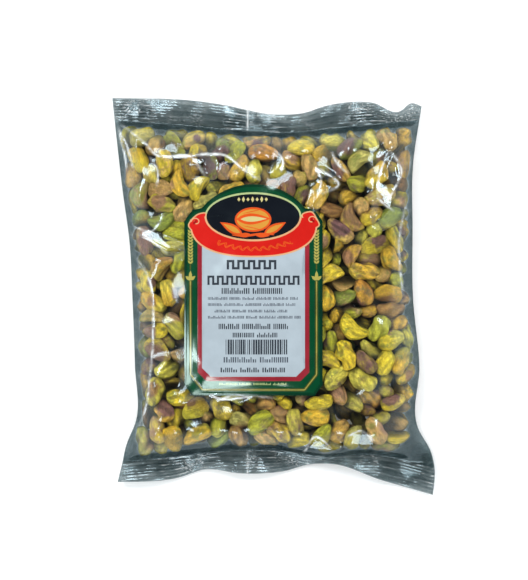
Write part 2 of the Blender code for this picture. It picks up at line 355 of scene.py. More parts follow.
def pack_kernels(rng):
    """Grows the kernels in the pouch until they crowd each other. Each is three balls in a row.

    Returns their middles, their long axes and their sizes.
    """
    count = KERNEL_COUNT
    size = np.clip(rng.normal(1.0, SIZE_SPREAD, count), LEAST_SIZE, MOST_SIZE)
    middle_radius = size * (KERNEL_WIDTH + KERNEL_THICKNESS) / 4 * MIDDLE_BALL
    end_radius = middle_radius * END_BALL
    reach = size * KERNEL_LENGTH / 2 - end_radius
    pouch = Pouch(float(middle_radius.mean()))

    room = pouch.room
    centres = []
    while len(centres) < count:
        x = rng.uniform(*START_X)
        y = rng.uniform(*START_Y)
        free = float(room.at(x, y))
        if free > 0 and rng.uniform(0, START_DEPTH) < free + START_SPARE:
            low = float(pouch.surfaces[1][0].at(x, y))
            centres.append((x, y, low + rng.uniform(0, 1) * free))
    centres = np.array(centres)
    heading = rng.uniform(0, 2 * np.pi, count)
    tilt = rng.normal(0, KERNEL_TILT, count)
    axes = np.stack([np.cos(heading) * np.cos(tilt), np.sin(heading) * np.cos(tilt), np.sin(tilt)], axis=1)

    owner = np.repeat(np.arange(count), 3)
    full_radius = np.stack([end_radius, middle_radius, end_radius], axis=1).ravel()
    pairs = None
    for step in range(PACKING_ROUNDS):
        growth = START_GROWTH + LATER_GROWTH * min(1.0, step / GROWING_ROUNDS)
        offsets = (reach * growth)[:, None] * axes
        balls = np.stack([centres - offsets, centres, centres + offsets], axis=1).reshape(-1, 3)
        radius = full_radius * growth
        if step % PAIRING_ROUNDS == 0:
            pairs = near_pairs(balls, owner, radius)
        a, b = pairs
        between = balls[b] - balls[a]
        apart = np.maximum(np.linalg.norm(between, axis=1), 1e-6)
        overlap = radius[a] + radius[b] - apart
        touching = overlap > 0
        a, b = a[touching], b[touching]
        push = between[touching] * (0.5 * overlap[touching] / apart[touching])[:, None]
        moved = np.zeros_like(balls)
        for axis in range(3):
            moved[:, axis] -= np.bincount(a, push[:, axis], len(balls))
            moved[:, axis] += np.bincount(b, push[:, axis], len(balls))
        contacts = np.bincount(a, minlength=len(balls)) + np.bincount(b, minlength=len(balls))
        moved /= np.maximum(1, contacts * CONTACT_SHARE)[:, None]
        balls = balls + moved
        balls += pouch.hold(balls)
        balls[:, 2] -= SINKING
        triples = balls.reshape(count, 3, 3)
        centres = triples.mean(axis=1)
        axes = triples[:, 2] - triples[:, 0]
        axes /= np.linalg.norm(axes, axis=1, keepdims=True)
    return centres, axes, size


def near_pairs(balls, owner, radius):
    """The pairs of balls of different kernels that are close enough to meet soon."""
    square = (balls**2).sum(axis=1)
    apart = square[:, None] + square[None, :] - 2 * balls @ balls.T
    limit = (radius[:, None] + radius[None, :] + NEAR) ** 2
    a, b = np.nonzero(np.triu(apart < limit, 1))
    other = owner[a] != owner[b]
    return a[other], b[other]


# ---------------------------------------------------------------- the kernels: their shapes

RINGS, SIDES = 22, 30  # a kernel's faces, along and around
LUMPS, WRINKLES = 0.115, 0.042  # how high they are, as shares of a kernel's girth
WRINKLE_PAINTED_SHADE, SEAM_PAINTED_SHADE = -12, 7  # how much painted shade the material puts in them
SEAM_WIDTH = 0.16
HALF_SHARE = 0.14  # of the kernels are single halves
HALF_FACE, HALF_DISH = -0.03, 0.04
KERNEL_ROLL = 0.6
KERNEL_STRETCHES = [(0.94, 1.07), (0.95, 1.09), (0.95, 1.06)]
GROUP_COLUMNS, GROUP_ROWS = 4, 6  # the blocks of kernels that are joined
GROUP_HALF_WIDTH, GROUP_HALF_LENGTH = 84, 96
PLACE_SPREAD = 40  # how far apart the kernels' places are in the material's noise
# painted shade deep in the heap: how much, and over which depths below the film in millimetres
PAINTED_HEAP_SHADE, SHADE_FROM, SHADE_TO = 0.84, 1.8, 8.2


def waves(rng, count, low, high):
    """Random waves over a kernel: (turns around, turns along, phase, height) each."""
    return [
        (int(rng.integers(low, high + 1)), rng.uniform(0.3, 2.2), rng.uniform(0, 2 * np.pi), rng.normal())
        for _ in range(count)
    ]


def wave_sum(parts, along, around):
    """The waves' sum at places along and around a kernel."""
    total = sum(h * np.sin(n * around + m * np.pi * along + phase) for n, m, phase, h in parts)
    return total / math.sqrt(len(parts))


def kernel_triangles():
    """The faces of a closed kernel: rings of SIDES points, then its tail and its tip."""
    faces = []
    rings = RINGS - 1
    tail, tip = rings * SIDES, rings * SIDES + 1
    for side in range(SIDES):
        after = (side + 1) % SIDES
        for ring in range(rings - 1):
            low, high = ring * SIDES, (ring + 1) * SIDES
            faces.append((low + side, high + side, low + after))
            faces.append((low + after, high + side, high + after))
        faces.append((tail, side, after))
        top = (rings - 1) * SIDES
        faces.append((tip, top + after, top + side))
    return np.array(faces)[:, ::-1]


def kernel_shape(rng, half):
    """One kernel of unit length along X: its points, and how deep each lies in a wrinkle or the seam (painted
    shade).

    It is blunt at one end and pointed at the other, a little bent, ridged and wrinkled lengthwise, and split
    along its sides by the seam between its two halves. A half kernel keeps one side and a dished flat face.
    """
    along = np.linspace(0, np.pi, RINGS + 1)[1:-1]
    around = np.linspace(0, 2 * np.pi, SIDES, endpoint=False)
    t, a = np.meshgrid(along, around, indexing="ij")
    x = -np.cos(t)
    blunt = rng.uniform(0.0, 0.22)
    girth = np.sin(t) ** rng.uniform(0.56, 0.76) * (1 - blunt * x) * (1 - 0.16 * np.clip(x, 0, 1) ** 3)
    lumps = LUMPS * wave_sum(waves(rng, 5, 1, 3), x, a)
    wrinkles = WRINKLES * wave_sum(waves(rng, 7, 3, 8), x, a) * np.clip(np.sin(t) * 1.6, 0, 1)
    seam = np.exp(-((np.sin(a) / SEAM_WIDTH) ** 2)) * np.clip(np.sin(t) * 1.5, 0, 1)
    split = 0.0 if half else max(0.0, rng.uniform(-0.05, 0.13))
    girth = girth * (1 + lumps + wrinkles - split * seam)
    y = 0.5 * KERNEL_WIDTH / KERNEL_LENGTH * girth * np.cos(a)
    z = 0.5 * KERNEL_THICKNESS / KERNEL_LENGTH * girth * np.sin(a) * rng.uniform(0.86, 1.0)
    x = 0.5 * x * (1 + 0.03 * wave_sum(waves(rng, 2, 1, 2), x, a))
    bend = rng.normal(0, 0.1)
    lift = rng.uniform(-0.05, 0.05)
    arch = 4 * x * x - 0.4
    points = np.stack([x, y + bend * arch, z + lift * arch], axis=-1).reshape(-1, 3)
    points = np.vstack([points, [-0.5, bend * 0.6, lift * 0.6], [0.5, bend * 0.6, lift * 0.6]])
    depth = np.append((wrinkles * WRINKLE_PAINTED_SHADE + split * seam * SEAM_PAINTED_SHADE).ravel(), [0.3, 0.5])
    if half:
        middle = np.clip(1 - (points[:, 0] / 0.42) ** 2, 0, 1) * np.clip(1 - (points[:, 1] / 0.2) ** 2, 0, 1)
        flat = points[:, 2] < HALF_FACE
        points[flat, 2] = HALF_FACE + HALF_DISH * middle[flat]
        points[:, 2] -= HALF_FACE / 2
        depth[flat] = -0.4 * middle[flat]
    return points, np.clip(depth, -1, 1)


# ---------------------------------------------------------------- the kernels: their colours


def linear(red, green, blue):
    """A colour given from 0 to 255, as the light it sends back."""
    shares = np.array([red, green, blue]) / 255
    return np.where(shares <= 0.04045, shares / 12.92, ((shares + 0.055) / 1.055) ** 2.4)


FLESH = {  # colour: how common it is
    (240, 212, 46): 6,  # yellow
    (232, 186, 46): 6,  # golden
    (230, 216, 78): 5,  # pale yellow green
    (190, 188, 44): 4,  # yellow green
    (148, 160, 54): 1.8,  # green
    (192, 182, 92): 2,  # pale olive
    (216, 174, 98): 3.5,  # tan
    (222, 154, 48): 1,  # orange
}
SKINS = [(122, 76, 84), (144, 98, 74), (142, 92, 50), (172, 126, 100), (104, 60, 76)]


def kernel_colours(rng, points):
    """The flesh and the skin colour at each point of a kernel, with the skin's share as its fourth value."""
    choices = list(FLESH)
    odds = np.array([FLESH[c] for c in choices], float)
    first, second = (linear(*choices[rng.choice(len(choices), p=odds / odds.sum())]) for _ in range(2))
    direction = rng.normal(size=3)
    direction /= np.linalg.norm(direction)
    blend = ease(points @ direction * 2 + rng.uniform(-0.3, 0.3), -0.5, 0.7)[:, None] * rng.uniform(0, 0.9)
    flesh = (first * (1 - blend) + second * blend) * rng.uniform(1.08, 1.34)
    skin = linear(*SKINS[rng.integers(len(SKINS))]) * rng.uniform(0.95, 1.4)
    share = np.clip(rng.normal(0.26, 0.13), 0, 0.55)
    patch = rng.normal(size=3) * np.array([0.4, 1, 1])
    patch *= 0.28 / np.linalg.norm(patch)
    reach = rng.uniform(0.16, 0.34)
    strength = rng.uniform(0.4, 0.9) if rng.uniform() < 0.55 else rng.uniform(0, 0.3)
    near_patch = 1 - ease(np.linalg.norm(points - patch, axis=1), 0.25 * reach, 1.6 * reach)
    shares = np.clip(share + strength * near_patch, 0, 1)
    return flesh, np.column_stack([np.tile(skin, (len(points), 1)), shares])


def turned_to(axis, roll):
    """A turn that takes X to the axis, after a roll about it."""
    heading = math.atan2(axis[1], axis[0])
    tilt = math.asin(max(-1.0, min(1.0, axis[2])))
    c, s = math.cos(heading), math.sin(heading)
    about_z = np.array([[c, -s, 0], [s, c, 0], [0, 0, 1]])
    c, s = math.cos(-tilt), math.sin(-tilt)
    about_y = np.array([[c, 0, s], [0, 1, 0], [-s, 0, c]])
    c, s = math.cos(roll), math.sin(roll)
    about_x = np.array([[1, 0, 0], [0, c, -s], [0, s, c]])
    return about_z @ about_y @ about_x


def held_inside(points):
    """A kernel's points, moved back into the bag where its bumps would come through the film."""
    for _ in range(HOLDING_ROUNDS):
        x, y, z = points.T
        sides, ends = across(x, y), lengthwise(x, y)
        side, end = (places[np.abs(places).argmax()] for places in (sides, ends))
        shift_x = -math.copysign(max(0.0, abs(side) - KERNEL_LIMIT) * BAG_HALF_WIDTH, side)
        shift_y = -math.copysign(max(0.0, abs(end) - KERNEL_LIMIT) * BAG_HALF_LENGTH, end)
        low = float((z - back_height(x, y)).min())
        points = points + np.array([shift_x, shift_y, max(0.0, KERNEL_LOW - low)])
    return points


def joined_faces(kernels):
    """The faces of kernels whose points are put in one row."""
    return np.concatenate([kernel[1] + k * len(kernel[0]) for k, kernel in enumerate(kernels)])


def make_kernels(rng, material):
    """All the kernels, joined in blocks of the bag. Returns their pieces, points and faces."""
    centres, axes, sizes = pack_kernels(rng)
    whole = [kernel_shape(rng, False) for _ in range(KERNEL_VARIANTS)]
    halves = [kernel_shape(rng, True) for _ in range(KERNEL_VARIANTS // 3)]
    triangles = kernel_triangles()
    made = []
    for centre, axis, size in zip(centres, axes, sizes):
        half = rng.uniform() < HALF_SHARE
        shapes = halves if half else whole
        shape, depth = shapes[rng.integers(len(shapes))]
        roll = rng.normal(0, KERNEL_ROLL) + (np.pi if rng.uniform() < 0.5 else 0)
        mirror = np.array([rng.choice([-1, 1]), 1, 1])
        stretch = mirror * np.array([rng.uniform(*span) for span in KERNEL_STRETCHES])
        faces = triangles if mirror[0] > 0 else triangles[:, ::-1]
        points = shape * stretch * size * KERNEL_LENGTH
        flesh, skin = kernel_colours(rng, shape)
        place = shape + rng.uniform(-PLACE_SPREAD, PLACE_SPREAD, 3)
        points = held_inside(points @ turned_to(axis, roll).T + centre)
        made.append((points, faces, place, depth, flesh, skin))
    column = (centres[:, 0] + GROUP_HALF_WIDTH) / (2 * GROUP_HALF_WIDTH) * GROUP_COLUMNS
    row = (centres[:, 1] + GROUP_HALF_LENGTH) / (2 * GROUP_HALF_LENGTH) * GROUP_ROWS
    column = np.clip(column, 0, GROUP_COLUMNS - 1).astype(int)
    row = np.clip(row, 0, GROUP_ROWS - 1).astype(int)
    pieces = []
    for block in range(GROUP_COLUMNS * GROUP_ROWS):
        members = [made[k] for k in np.nonzero(column + GROUP_COLUMNS * row == block)[0]]
        points, place, depth, flesh, skin = (np.concatenate([m[f] for m in members]) for f in (0, 2, 3, 4, 5))
        faces = joined_faces(members)
        piece = mesh_piece(f"kernels_{block + 1:02d}", points, faces, [material])
        point_attribute(piece, "kernel_place", place)
        point_attribute(piece, "kernel_depth", depth)
        point_attribute(piece, "kernel_flesh", np.column_stack([flesh, np.ones(len(flesh))]))
        point_attribute(piece, "kernel_skin", skin)
        pieces.append(piece)
    return pieces, np.concatenate([m[0] for m in made]), joined_faces(made)


def paint_heap_shade(pieces, film):
    """Painted shade, as less light reaches the middle of the heap: 1 at the heap's skin and lower within."""
    for piece in pieces:
        places = np.zeros(len(piece.data.vertices) * 3, np.float32)
        piece.data.vertices.foreach_get("co", places)
        x, y, z = places.reshape(-1, 3).T / MM
        inwards = np.minimum(film.heap.at(x, y) - z, z - back_height(x, y))
        point_attribute(piece, "kernel_painted_light", 1 - PAINTED_HEAP_SHADE * ease(inwards, SHADE_FROM, SHADE_TO))


# ---------------------------------------------------------------- materials


class Nodes:
    """Short calls for the nodes of one material."""

    def __init__(self, name):
        self.material = bpy.data.materials.new(name)
        self.material.use_nodes = True
        self.tree = self.material.node_tree
        self.tree.nodes.clear()
        self.output = self.tree.nodes.new("ShaderNodeOutputMaterial")

    def add(self, kind, settings=None, **inputs):
        """A node. An input is named, with _ for a space, or given as i and its number."""
        node = self.tree.nodes.new("ShaderNode" + kind)
        for name, value in (settings or {}).items():
            setattr(node, name, value)
        for name, value in inputs.items():
            numbered = name[0] == "i" and name[1:].isdigit()
            self.give(node.inputs[int(name[1:]) if numbered else name.replace("_", " ")], value)
        return node

    def give(self, socket, value):
        """Links or sets a socket."""
        if isinstance(value, bpy.types.NodeSocket):
            self.tree.links.new(value, socket)
        elif isinstance(value, bpy.types.Node):
            self.tree.links.new(value.outputs[0], socket)
        else:
            socket.default_value = value

    def read(self, name, output="Fac"):
        """What the mesh says at each point."""
        return self.add("Attribute", {"attribute_name": name}).outputs[output]

    def noise(self, vector, scale, detail=3.0, roughness=0.55):
        spread = {"Scale": scale, "Detail": detail, "Roughness": roughness}
        return self.add("TexNoise", Vector=vector, **spread).outputs["Fac"]

    def stretched(self, vector, x, y, z):
        return self.add("VectorMath", {"operation": "MULTIPLY"}, i0=vector, i1=(x, y, z)).outputs[0]

    def ranged(self, value, low, high, to_low=0.0, to_high=1.0):
        """Takes the value from low..high to the new range, smoothly and held at its ends."""
        settings = {"interpolation_type": "SMOOTHSTEP"}
        spans = {"From_Min": low, "From_Max": high, "To_Min": to_low, "To_Max": to_high}
        return self.add("MapRange", settings, Value=value, **spans).outputs[0]

    def maths(self, operation, first, second=0.0):
        return self.add("Math", {"operation": operation}, i0=first, i1=second).outputs[0]

    def times(self, first, second):
        return self.maths("MULTIPLY", first, second)

    def plus(self, first, second):
        return self.maths("ADD", first, second)

    def mixed(self, share, first, second, blend="MIX"):
        node = self.add("Mix", {"data_type": "RGBA", "blend_type": blend})
        self.give(node.inputs[0], share)
        self.give(node.inputs[6], first)
        self.give(node.inputs[7], second)
        return node.outputs[2]

    def scaled(self, colour, amount):
        return self.add("VectorMath", {"operation": "SCALE"}, i0=colour, Scale=amount).outputs[0]

    def surface(self, shader):
        self.tree.links.new(shader.outputs[0], self.output.inputs["Surface"])
        return self.material


def kernel_material():
    """Veined flesh with torn skin over part of it, with painted shade in its furrows and seam and deep in the
    heap.
    """
    n = Nodes("pistachio_kernel")
    place = n.read("kernel_place", "Vector")
    depth = n.read("kernel_depth")
    streaks = n.noise(n.stretched(place, 1.8, 7.0, 7.0), 1.9, 4.0, 0.62)
    blotches = n.noise(place, 3.2, 3.0)
    fine = n.noise(n.stretched(place, 3.0, 9.0, 9.0), 4.0, 4.0, 0.65)
    flesh = n.scaled(n.read("kernel_flesh", "Color"), n.ranged(streaks, 0.32, 0.68, 0.8, 1.12))
    veins = n.noise(n.stretched(place, 2.6, 4.5, 4.5), 3.4, 5.0, 0.6)
    vein_lines = n.maths("ABSOLUTE", n.maths("SUBTRACT", veins, 0.5))
    flesh = n.scaled(flesh, n.ranged(vein_lines, 0.0, 0.04, 0.8, 1.02))
    green = n.mixed(n.ranged(blotches, 0.52, 0.66, 0.0, 0.6), flesh, (0.26, 0.33, 0.04, 1))
    torn = n.plus(n.times(blotches, 0.6), n.times(streaks, 0.5))
    torn = n.plus(torn, n.times(fine, 0.4))
    cover = n.maths("SUBTRACT", n.plus(torn, n.read("kernel_skin", "Alpha")), 1.12)
    skin_tone = n.scaled(n.read("kernel_skin", "Color"), n.ranged(fine, 0.3, 0.7, 0.7, 1.45))
    covered = n.mixed(n.ranged(cover, -0.16, 0.24, 0.0, 0.88), green, skin_tone)
    # painted shade: darker in the furrows of the wrinkles and in the seam, a little lighter on the ridges
    furrows = n.scaled(covered, n.ranged(depth, -0.6, 0.9, 1.12, 0.52))
    # painted shade deep in the heap
    shaded = n.scaled(furrows, n.read("kernel_painted_light"))
    height = n.plus(n.times(streaks, 0.8), n.times(fine, 0.3))
    height = n.plus(height, n.ranged(vein_lines, 0.0, 0.06, 0.0, 0.25))
    bump = n.add("Bump", Height=height, Strength=1.0, Distance=0.0018)
    gloss = n.ranged(fine, 0.3, 0.7, 0.48, 0.68)
    return n.surface(n.add("BsdfPrincipled", Base_Color=shaded, Roughness=gloss, Normal=bump))


# ---------------------------------------------------------------- the film: its heights

FILM_GAP = 0.4  # between the kernels and the film
DRAPE_ROUNDS = 420
DRAPE_SAG = 0.002
FILM_STIFF, LABEL_STIFF = 7.0, 7.0  # how far a kernel lifts the film around it
FILM_TOP = 30.2
LABEL_SPACE = 0.2  # how much higher the film lies under the label
LEAST_SLACK, SLACK_RISE = 0.14, 0.7
LARGE_CRUMPLES, SMALL_CRUMPLES = (15.0, 0.6), (6.5, 0.08)  # spacing and rise
LABEL_MARGIN, LABEL_BLEND = 6.0, 11.0  # how far from the label the film is still smooth
FILM_SOFTNESS = 1.1
NO_KERNEL = (0.3, 0.75)  # where the blurred map of gaps counts as empty
RIM_WIDTH, RIM_SLOPE, RIM_TOP = 10.5, 0.3, 28.0  # the label's bent rims
RIM_LAP = 1.2  # how far the bent film follows the label beyond its edge
RIM_FALL = 0.55  # how much more steeply it falls further out
RIM_FADE_Y, RIM_FADE_X = (-27, -12), (-16, -4)  # where the left rim and the lower one stop bending
RIM_FADE_IN = 10
LABEL_FADE = 0.8
LABEL_REACH, LABEL_SOFTNESS, LABEL_RAISE = 4.0, 1.5, 3.0
FILM_OVER_LABEL = 1.5  # how far beyond the label the film is still kept below it
GAP_BLUR = 2.5

# Loose places in the film: x, y, half width, half height and how loose.
SLACK = [
    *[(-80, 75, 26, 26, 1.0), (-55, 88, 30, 10, 0.7), (10, 86, 30, 12, 0.6), (62, 70, 24, 32, 1.0)],
    *[(-72, 22, 16, 18, 0.8), (35, -80, 26, 10, 0.8), (72, 5, 10, 60, 0.2), (-74, -50, 9, 50, 0.3)],
    (0, -92, 90, 8, 0.5),
]

# Creases and folds in the film: half width, rise, and the places that it runs through.
CREASES = [
    (1.3, 0.42, [(-89, 100), (-74, 88), (-65, 80), (-48, 80), (-38, 67)]),
    (1.6, 0.50, [(-62, 78), (-50, 80), (-29, 81), (-16, 71), (-7, 66)]),
    (2.6, 0.85, [(-53, 79), (-41, 81), (-29, 81)]),
    (1.5, 0.50, [(-71, 80), (-66, 71), (-67, 62)]),
    (1.1, 0.40, [(-90, 98), (-84, 86), (-80, 72)]),
    (1.2, 0.40, [(-90, 98), (-86, 84), (-84, 72)]),
    (3.6, 1.25, [(66, 84), (60, 68), (60, 56), (69, 48)]),
    (3.0, 1.05, [(66, 84), (73, 72), (68, 60), (64, 54)]),
    (2.4, 0.80, [(24, 74), (27, 66), (25, 56)]),
    (1.6, 0.55, [(24, 74), (37, 64), (26, 58)]),
    (2.0, 0.65, [(0, 84), (5, 78), (4, 70)]),
    (1.1, 0.36, [(33, 83), (36, 76), (43, 70)]),
    (3.4, 1.10, [(-78, 36), (-70, 32), (-60, 24)]),
    (1.3, 0.45, [(-80, 40), (-70, 37), (-64, 44)]),
    (1.6, 0.60, [(-80, 24), (-72, 12), (-69, -2), (-69, -26), (-71, -48), (-73, -63), (-78, -76)]),
    (1.3, 0.42, [(76, 55), (72, 35), (72, 20), (74, 0)]),
    (2.6, 0.85, [(17, -90), (24, -80), (34, -88)]),
    (2.8, 0.90, [(42, -80), (50, -77), (58, -83)]),
    (1.4, 0.50, [(-46, -46), (-32, -58), (-12, -57)]),
    (1.2, 0.40, [(-34, -60), (-20, -56), (2, -58)]),
]
CREASE_LINE = 0.8  # how far from its ridge a crease looks white: a painted highlight, partly the film's own whitening
CREASE_STEPS = 40
CREASE_TAPER, CREASE_POWER = 2.2, 1.3
CREASE_FADE, LEAST_CREASE = 0.06, 0.35  # creases are lower beside the folds

# Flat facets in the film that send a lamp's light up: the lamp's turn in degrees, and the facet's outline.
FACETS = [
    (90, [(69.3, 84.2), (62.4, 78.5), (61.8, 67.0), (65.8, 65.8), (65.3, 73.9), (68.1, 79.6)]),
    (45, [
        *[(57.2, 69.9), (61.8, 66.4), (65.8, 61.2), (68.7, 57.8)],
        *[(67.9, 50.3), (61.2, 46.9), (60.4, 56.4), (56.6, 60.7)],
    ]),
    (45, [(70.4, 84.2), (72.2, 78.2), (73.3, 67.0), (69.3, 58.4), (67.6, 61.2), (71.0, 68.1), (69.9, 77.3)]),
    (90, [(22.7, 62.4), (29.6, 61.2), (35.9, 62.4), (28.5, 58.7), (22.7, 52.0)]),
    (135, [(25.0, 75.0), (34.2, 67.0), (30.2, 68.1), (24.4, 69.9)]),
    (90, [(-0.9, 85.0), (4.9, 79.0), (3.6, 71.6), (-0.9, 70.1), (1.1, 80.2)]),
    (135, [
        *[(-77.0, 38.5), (-69.0, 38.0), (-62.5, 34.0), (-54.5, 26.5)],
        *[(-61.0, 26.0), (-70.0, 31.0), (-76.5, 33.5)],
    ]),
    (270, [(-36.0, -58.6), (-31.6, -61.5), (-22.3, -59.7), (-13.5, -56.0), (-20.4, -56.6), (-31.0, -55.8)]),
    (270, [(15.7, -88.5), (24.0, -79.6), (38.5, -89.8)]),
    (270, [(41.0, -86.0), (46.0, -78.0), (57.0, -80.0), (59.0, -86.5)]),
    (135, [(-48.0, 80.0), (-40.0, 79.0), (-39.0, 74.0), (-47.0, 75.0)]),
]
FACET_FALL = 0.8  # how steeply the film falls away around a facet
FACET_REST = 0.95  # the share of the film at a facet's place that is below it
FAR = 1e9


def kernel_tops(points, faces):
    """The height of the kernels below each place of the map, or -1 where there are none."""
    tree = BVHTree.FromPolygons(points.tolist(), faces.tolist(), all_triangles=True)
    x, y = HeightMap.places()
    tops = np.full(x.shape, -1.0)
    down = Vector((0, 0, -1))
    for place in np.ndindex(x.shape):
        hit = tree.ray_cast(Vector((x[place], y[place], 60)), down)[0]
        if hit is not None:
            tops[place] = hit.z
    return tops


def drape(tops, held, level):
    """A taut sheet that lies over the tops, at the given level where it is held."""
    height = np.where(held, level, level + pouch_depth(*HeightMap.places()))
    inner = height[1:-1, 1:-1]
    for _ in range(DRAPE_ROUNDS):
        mean = (height[:-2, 1:-1] + height[2:, 1:-1] + height[1:-1, :-2] + height[1:-1, 2:]) / 4
        lain = np.maximum(tops[1:-1, 1:-1], mean - DRAPE_SAG)
        inner[:] = np.where(held[1:-1, 1:-1], level[1:-1, 1:-1], lain)
    return height


def crumpled(rng, spacing, rise):
    """Flat facets that meet in creases, about spacing millimetres across."""
    x, y = HeightMap.places()
    corners = []
    for cx in np.arange(x.min() - spacing, x.max() + 2 * spacing, spacing):
        for cy in np.arange(y.min() - spacing, y.max() + 2 * spacing, spacing):
            corner_x = cx + rng.uniform(-0.45, 0.45) * spacing
            corners.append(Vector((corner_x, cy + rng.uniform(-0.45, 0.45) * spacing)))
    heights = rng.normal(0, rise, len(corners))
    made = geometry.delaunay_2d_cdt(corners, [], [], 0, 1e-6)
    values = np.zeros(x.shape)
    for face in made[2]:
        spots = np.array([made[0][v][:] for v in face])
        levels = np.array([heights[made[3][v][0]] for v in face])
        reach = (spots.min(axis=0), spots.max(axis=0))
        lowest, highest = ((ends - HeightMap.low) / HeightMap.pitch for ends in reach)
        first = np.clip(lowest.astype(int), 0, None)
        last = np.clip((highest + 2).astype(int), 0, HeightMap.shape)
        window = (slice(first[0], last[0]), slice(first[1], last[1]))
        edge_a, edge_b = spots[1] - spots[0], spots[2] - spots[0]
        area = edge_a[0] * edge_b[1] - edge_a[1] * edge_b[0]
        if abs(area) < 1e-9:
            continue
        dx, dy = x[window] - spots[0][0], y[window] - spots[0][1]
        f = (dx * edge_b[1] - dy * edge_b[0]) / area
        g = (dy * edge_a[0] - dx * edge_a[1]) / area
        within = (f >= -1e-6) & (g >= -1e-6) & (f + g <= 1 + 1e-6)
        plane = levels[0] + f * (levels[1] - levels[0]) + g * (levels[2] - levels[0])
        values[window] = np.where(within, plane, values[window])
    return values


def crease(x, y, half_width, rise, route):
    """A narrow roof along the route, tapered to its two ends, and the thin painted highlight line along its
    ridge.
    """
    knots, steps = np.linspace(0, 1, len(route)), np.linspace(0, 1, CREASE_STEPS)
    xs, ys = (smooth(list(zip(knots, values)), steps) for values in zip(*route))
    curve = list(zip(xs, ys))
    nearest = np.full(np.shape(x), FAR)
    along = np.zeros(np.shape(x))
    for k, (start, end) in enumerate(zip(curve, curve[1:])):
        f, apart = from_segment(x, y, start, end)
        closer = apart < nearest
        nearest = np.where(closer, apart, nearest)
        along = np.where(closer, (k + f) / (CREASE_STEPS - 1), along)
    taper = np.clip(np.sin(np.pi * np.clip(along, 0.001, 0.999)) * CREASE_TAPER, 0, 1)
    roof = rise * taper * np.clip(1 - nearest / half_width, 0, 1) ** CREASE_POWER
    return roof, taper * (1 - ease(nearest, 0.0, CREASE_LINE))


def in_label(x, y, margin):
    """Whether a place is under the label or within a margin of it."""
    across_label = np.abs(x - LABEL_X)
    along_label = y - LABEL_Y
    half = LABEL_SHOULDER[0][0] + margin
    straight = (across_label < half) & (along_label > LABEL_CORNER[0][1] - margin)
    straight &= along_label < LABEL_SHOULDER[0][1] + margin
    foot, rise = LABEL_SHOULDER[-1][0], LABEL_TOP - LABEL_SHOULDER[-1][1]
    radius = (foot * foot + rise * rise) / (2 * rise)
    arch = np.hypot(across_label, along_label - (LABEL_TOP - radius)) < radius + margin
    return straight | (arch & (along_label > 0))


def bent_rim(x, y, stiff):
    """The label's heights with its left and lower rims bent down at an even slope."""
    inner_x, inner_y = LABEL_LEFT + RIM_WIDTH, LABEL_LOW + RIM_WIDTH
    slope = np.minimum(RIM_SLOPE * np.minimum(x - inner_x, y - inner_y), 0)
    beyond = np.minimum(x - LABEL_LEFT, y - LABEL_LOW) + RIM_LAP
    slope = slope + RIM_FALL * np.minimum(beyond, 0)
    side = (1 - ease(y, *RIM_FADE_Y)) * (1 - ease(x, inner_x, inner_x + RIM_FADE_IN))
    foot = (1 - ease(x, *RIM_FADE_X)) * (1 - ease(y, inner_y, inner_y + RIM_FADE_IN))
    share = np.maximum(side, foot)
    return stiff * (1 - share) + (RIM_TOP + slope) * share


def over(tops, sheet, reach):
    """The sheet, raised smoothly wherever it would cut into the tops."""
    raised = np.maximum(tops - sheet.values, 0)
    steps = int(round(reach / HeightMap.pitch))
    for axis in (0, 1):
        raised = np.max([np.roll(raised, k, axis) for k in range(-steps, steps + 1)], axis=0)
    return sheet.values + HeightMap(raised).blurred(reach).values


def with_facet(values, x, y, turn, outline):
    """The heights with a facet raised through them, whose tilt sends the lamp at that turn to the camera."""
    middle = np.mean(outline, axis=0)
    spot = np.array([middle[0], middle[1], PILLOW_HEIGHT]) * MM
    halfway = sum((place - spot) / np.linalg.norm(place - spot) for place in (CAMERA_PLACE, lamp_place(turn)))
    slope_x, slope_y = -halfway[0] / halfway[2], -halfway[1] / halfway[2]
    plane = slope_x * (x - middle[0]) + slope_y * (y - middle[1])
    within = inside(outline, x, y)
    apart = np.full(x.shape, FAR)
    for start, end in zip(outline, outline[1:] + outline[:1]):
        apart = np.minimum(apart, from_segment(x, y, start, end)[1])
    raised = plane + np.quantile((values - plane)[within], FACET_REST)
    return np.maximum(values, raised - FACET_FALL * np.where(within, 0, apart))


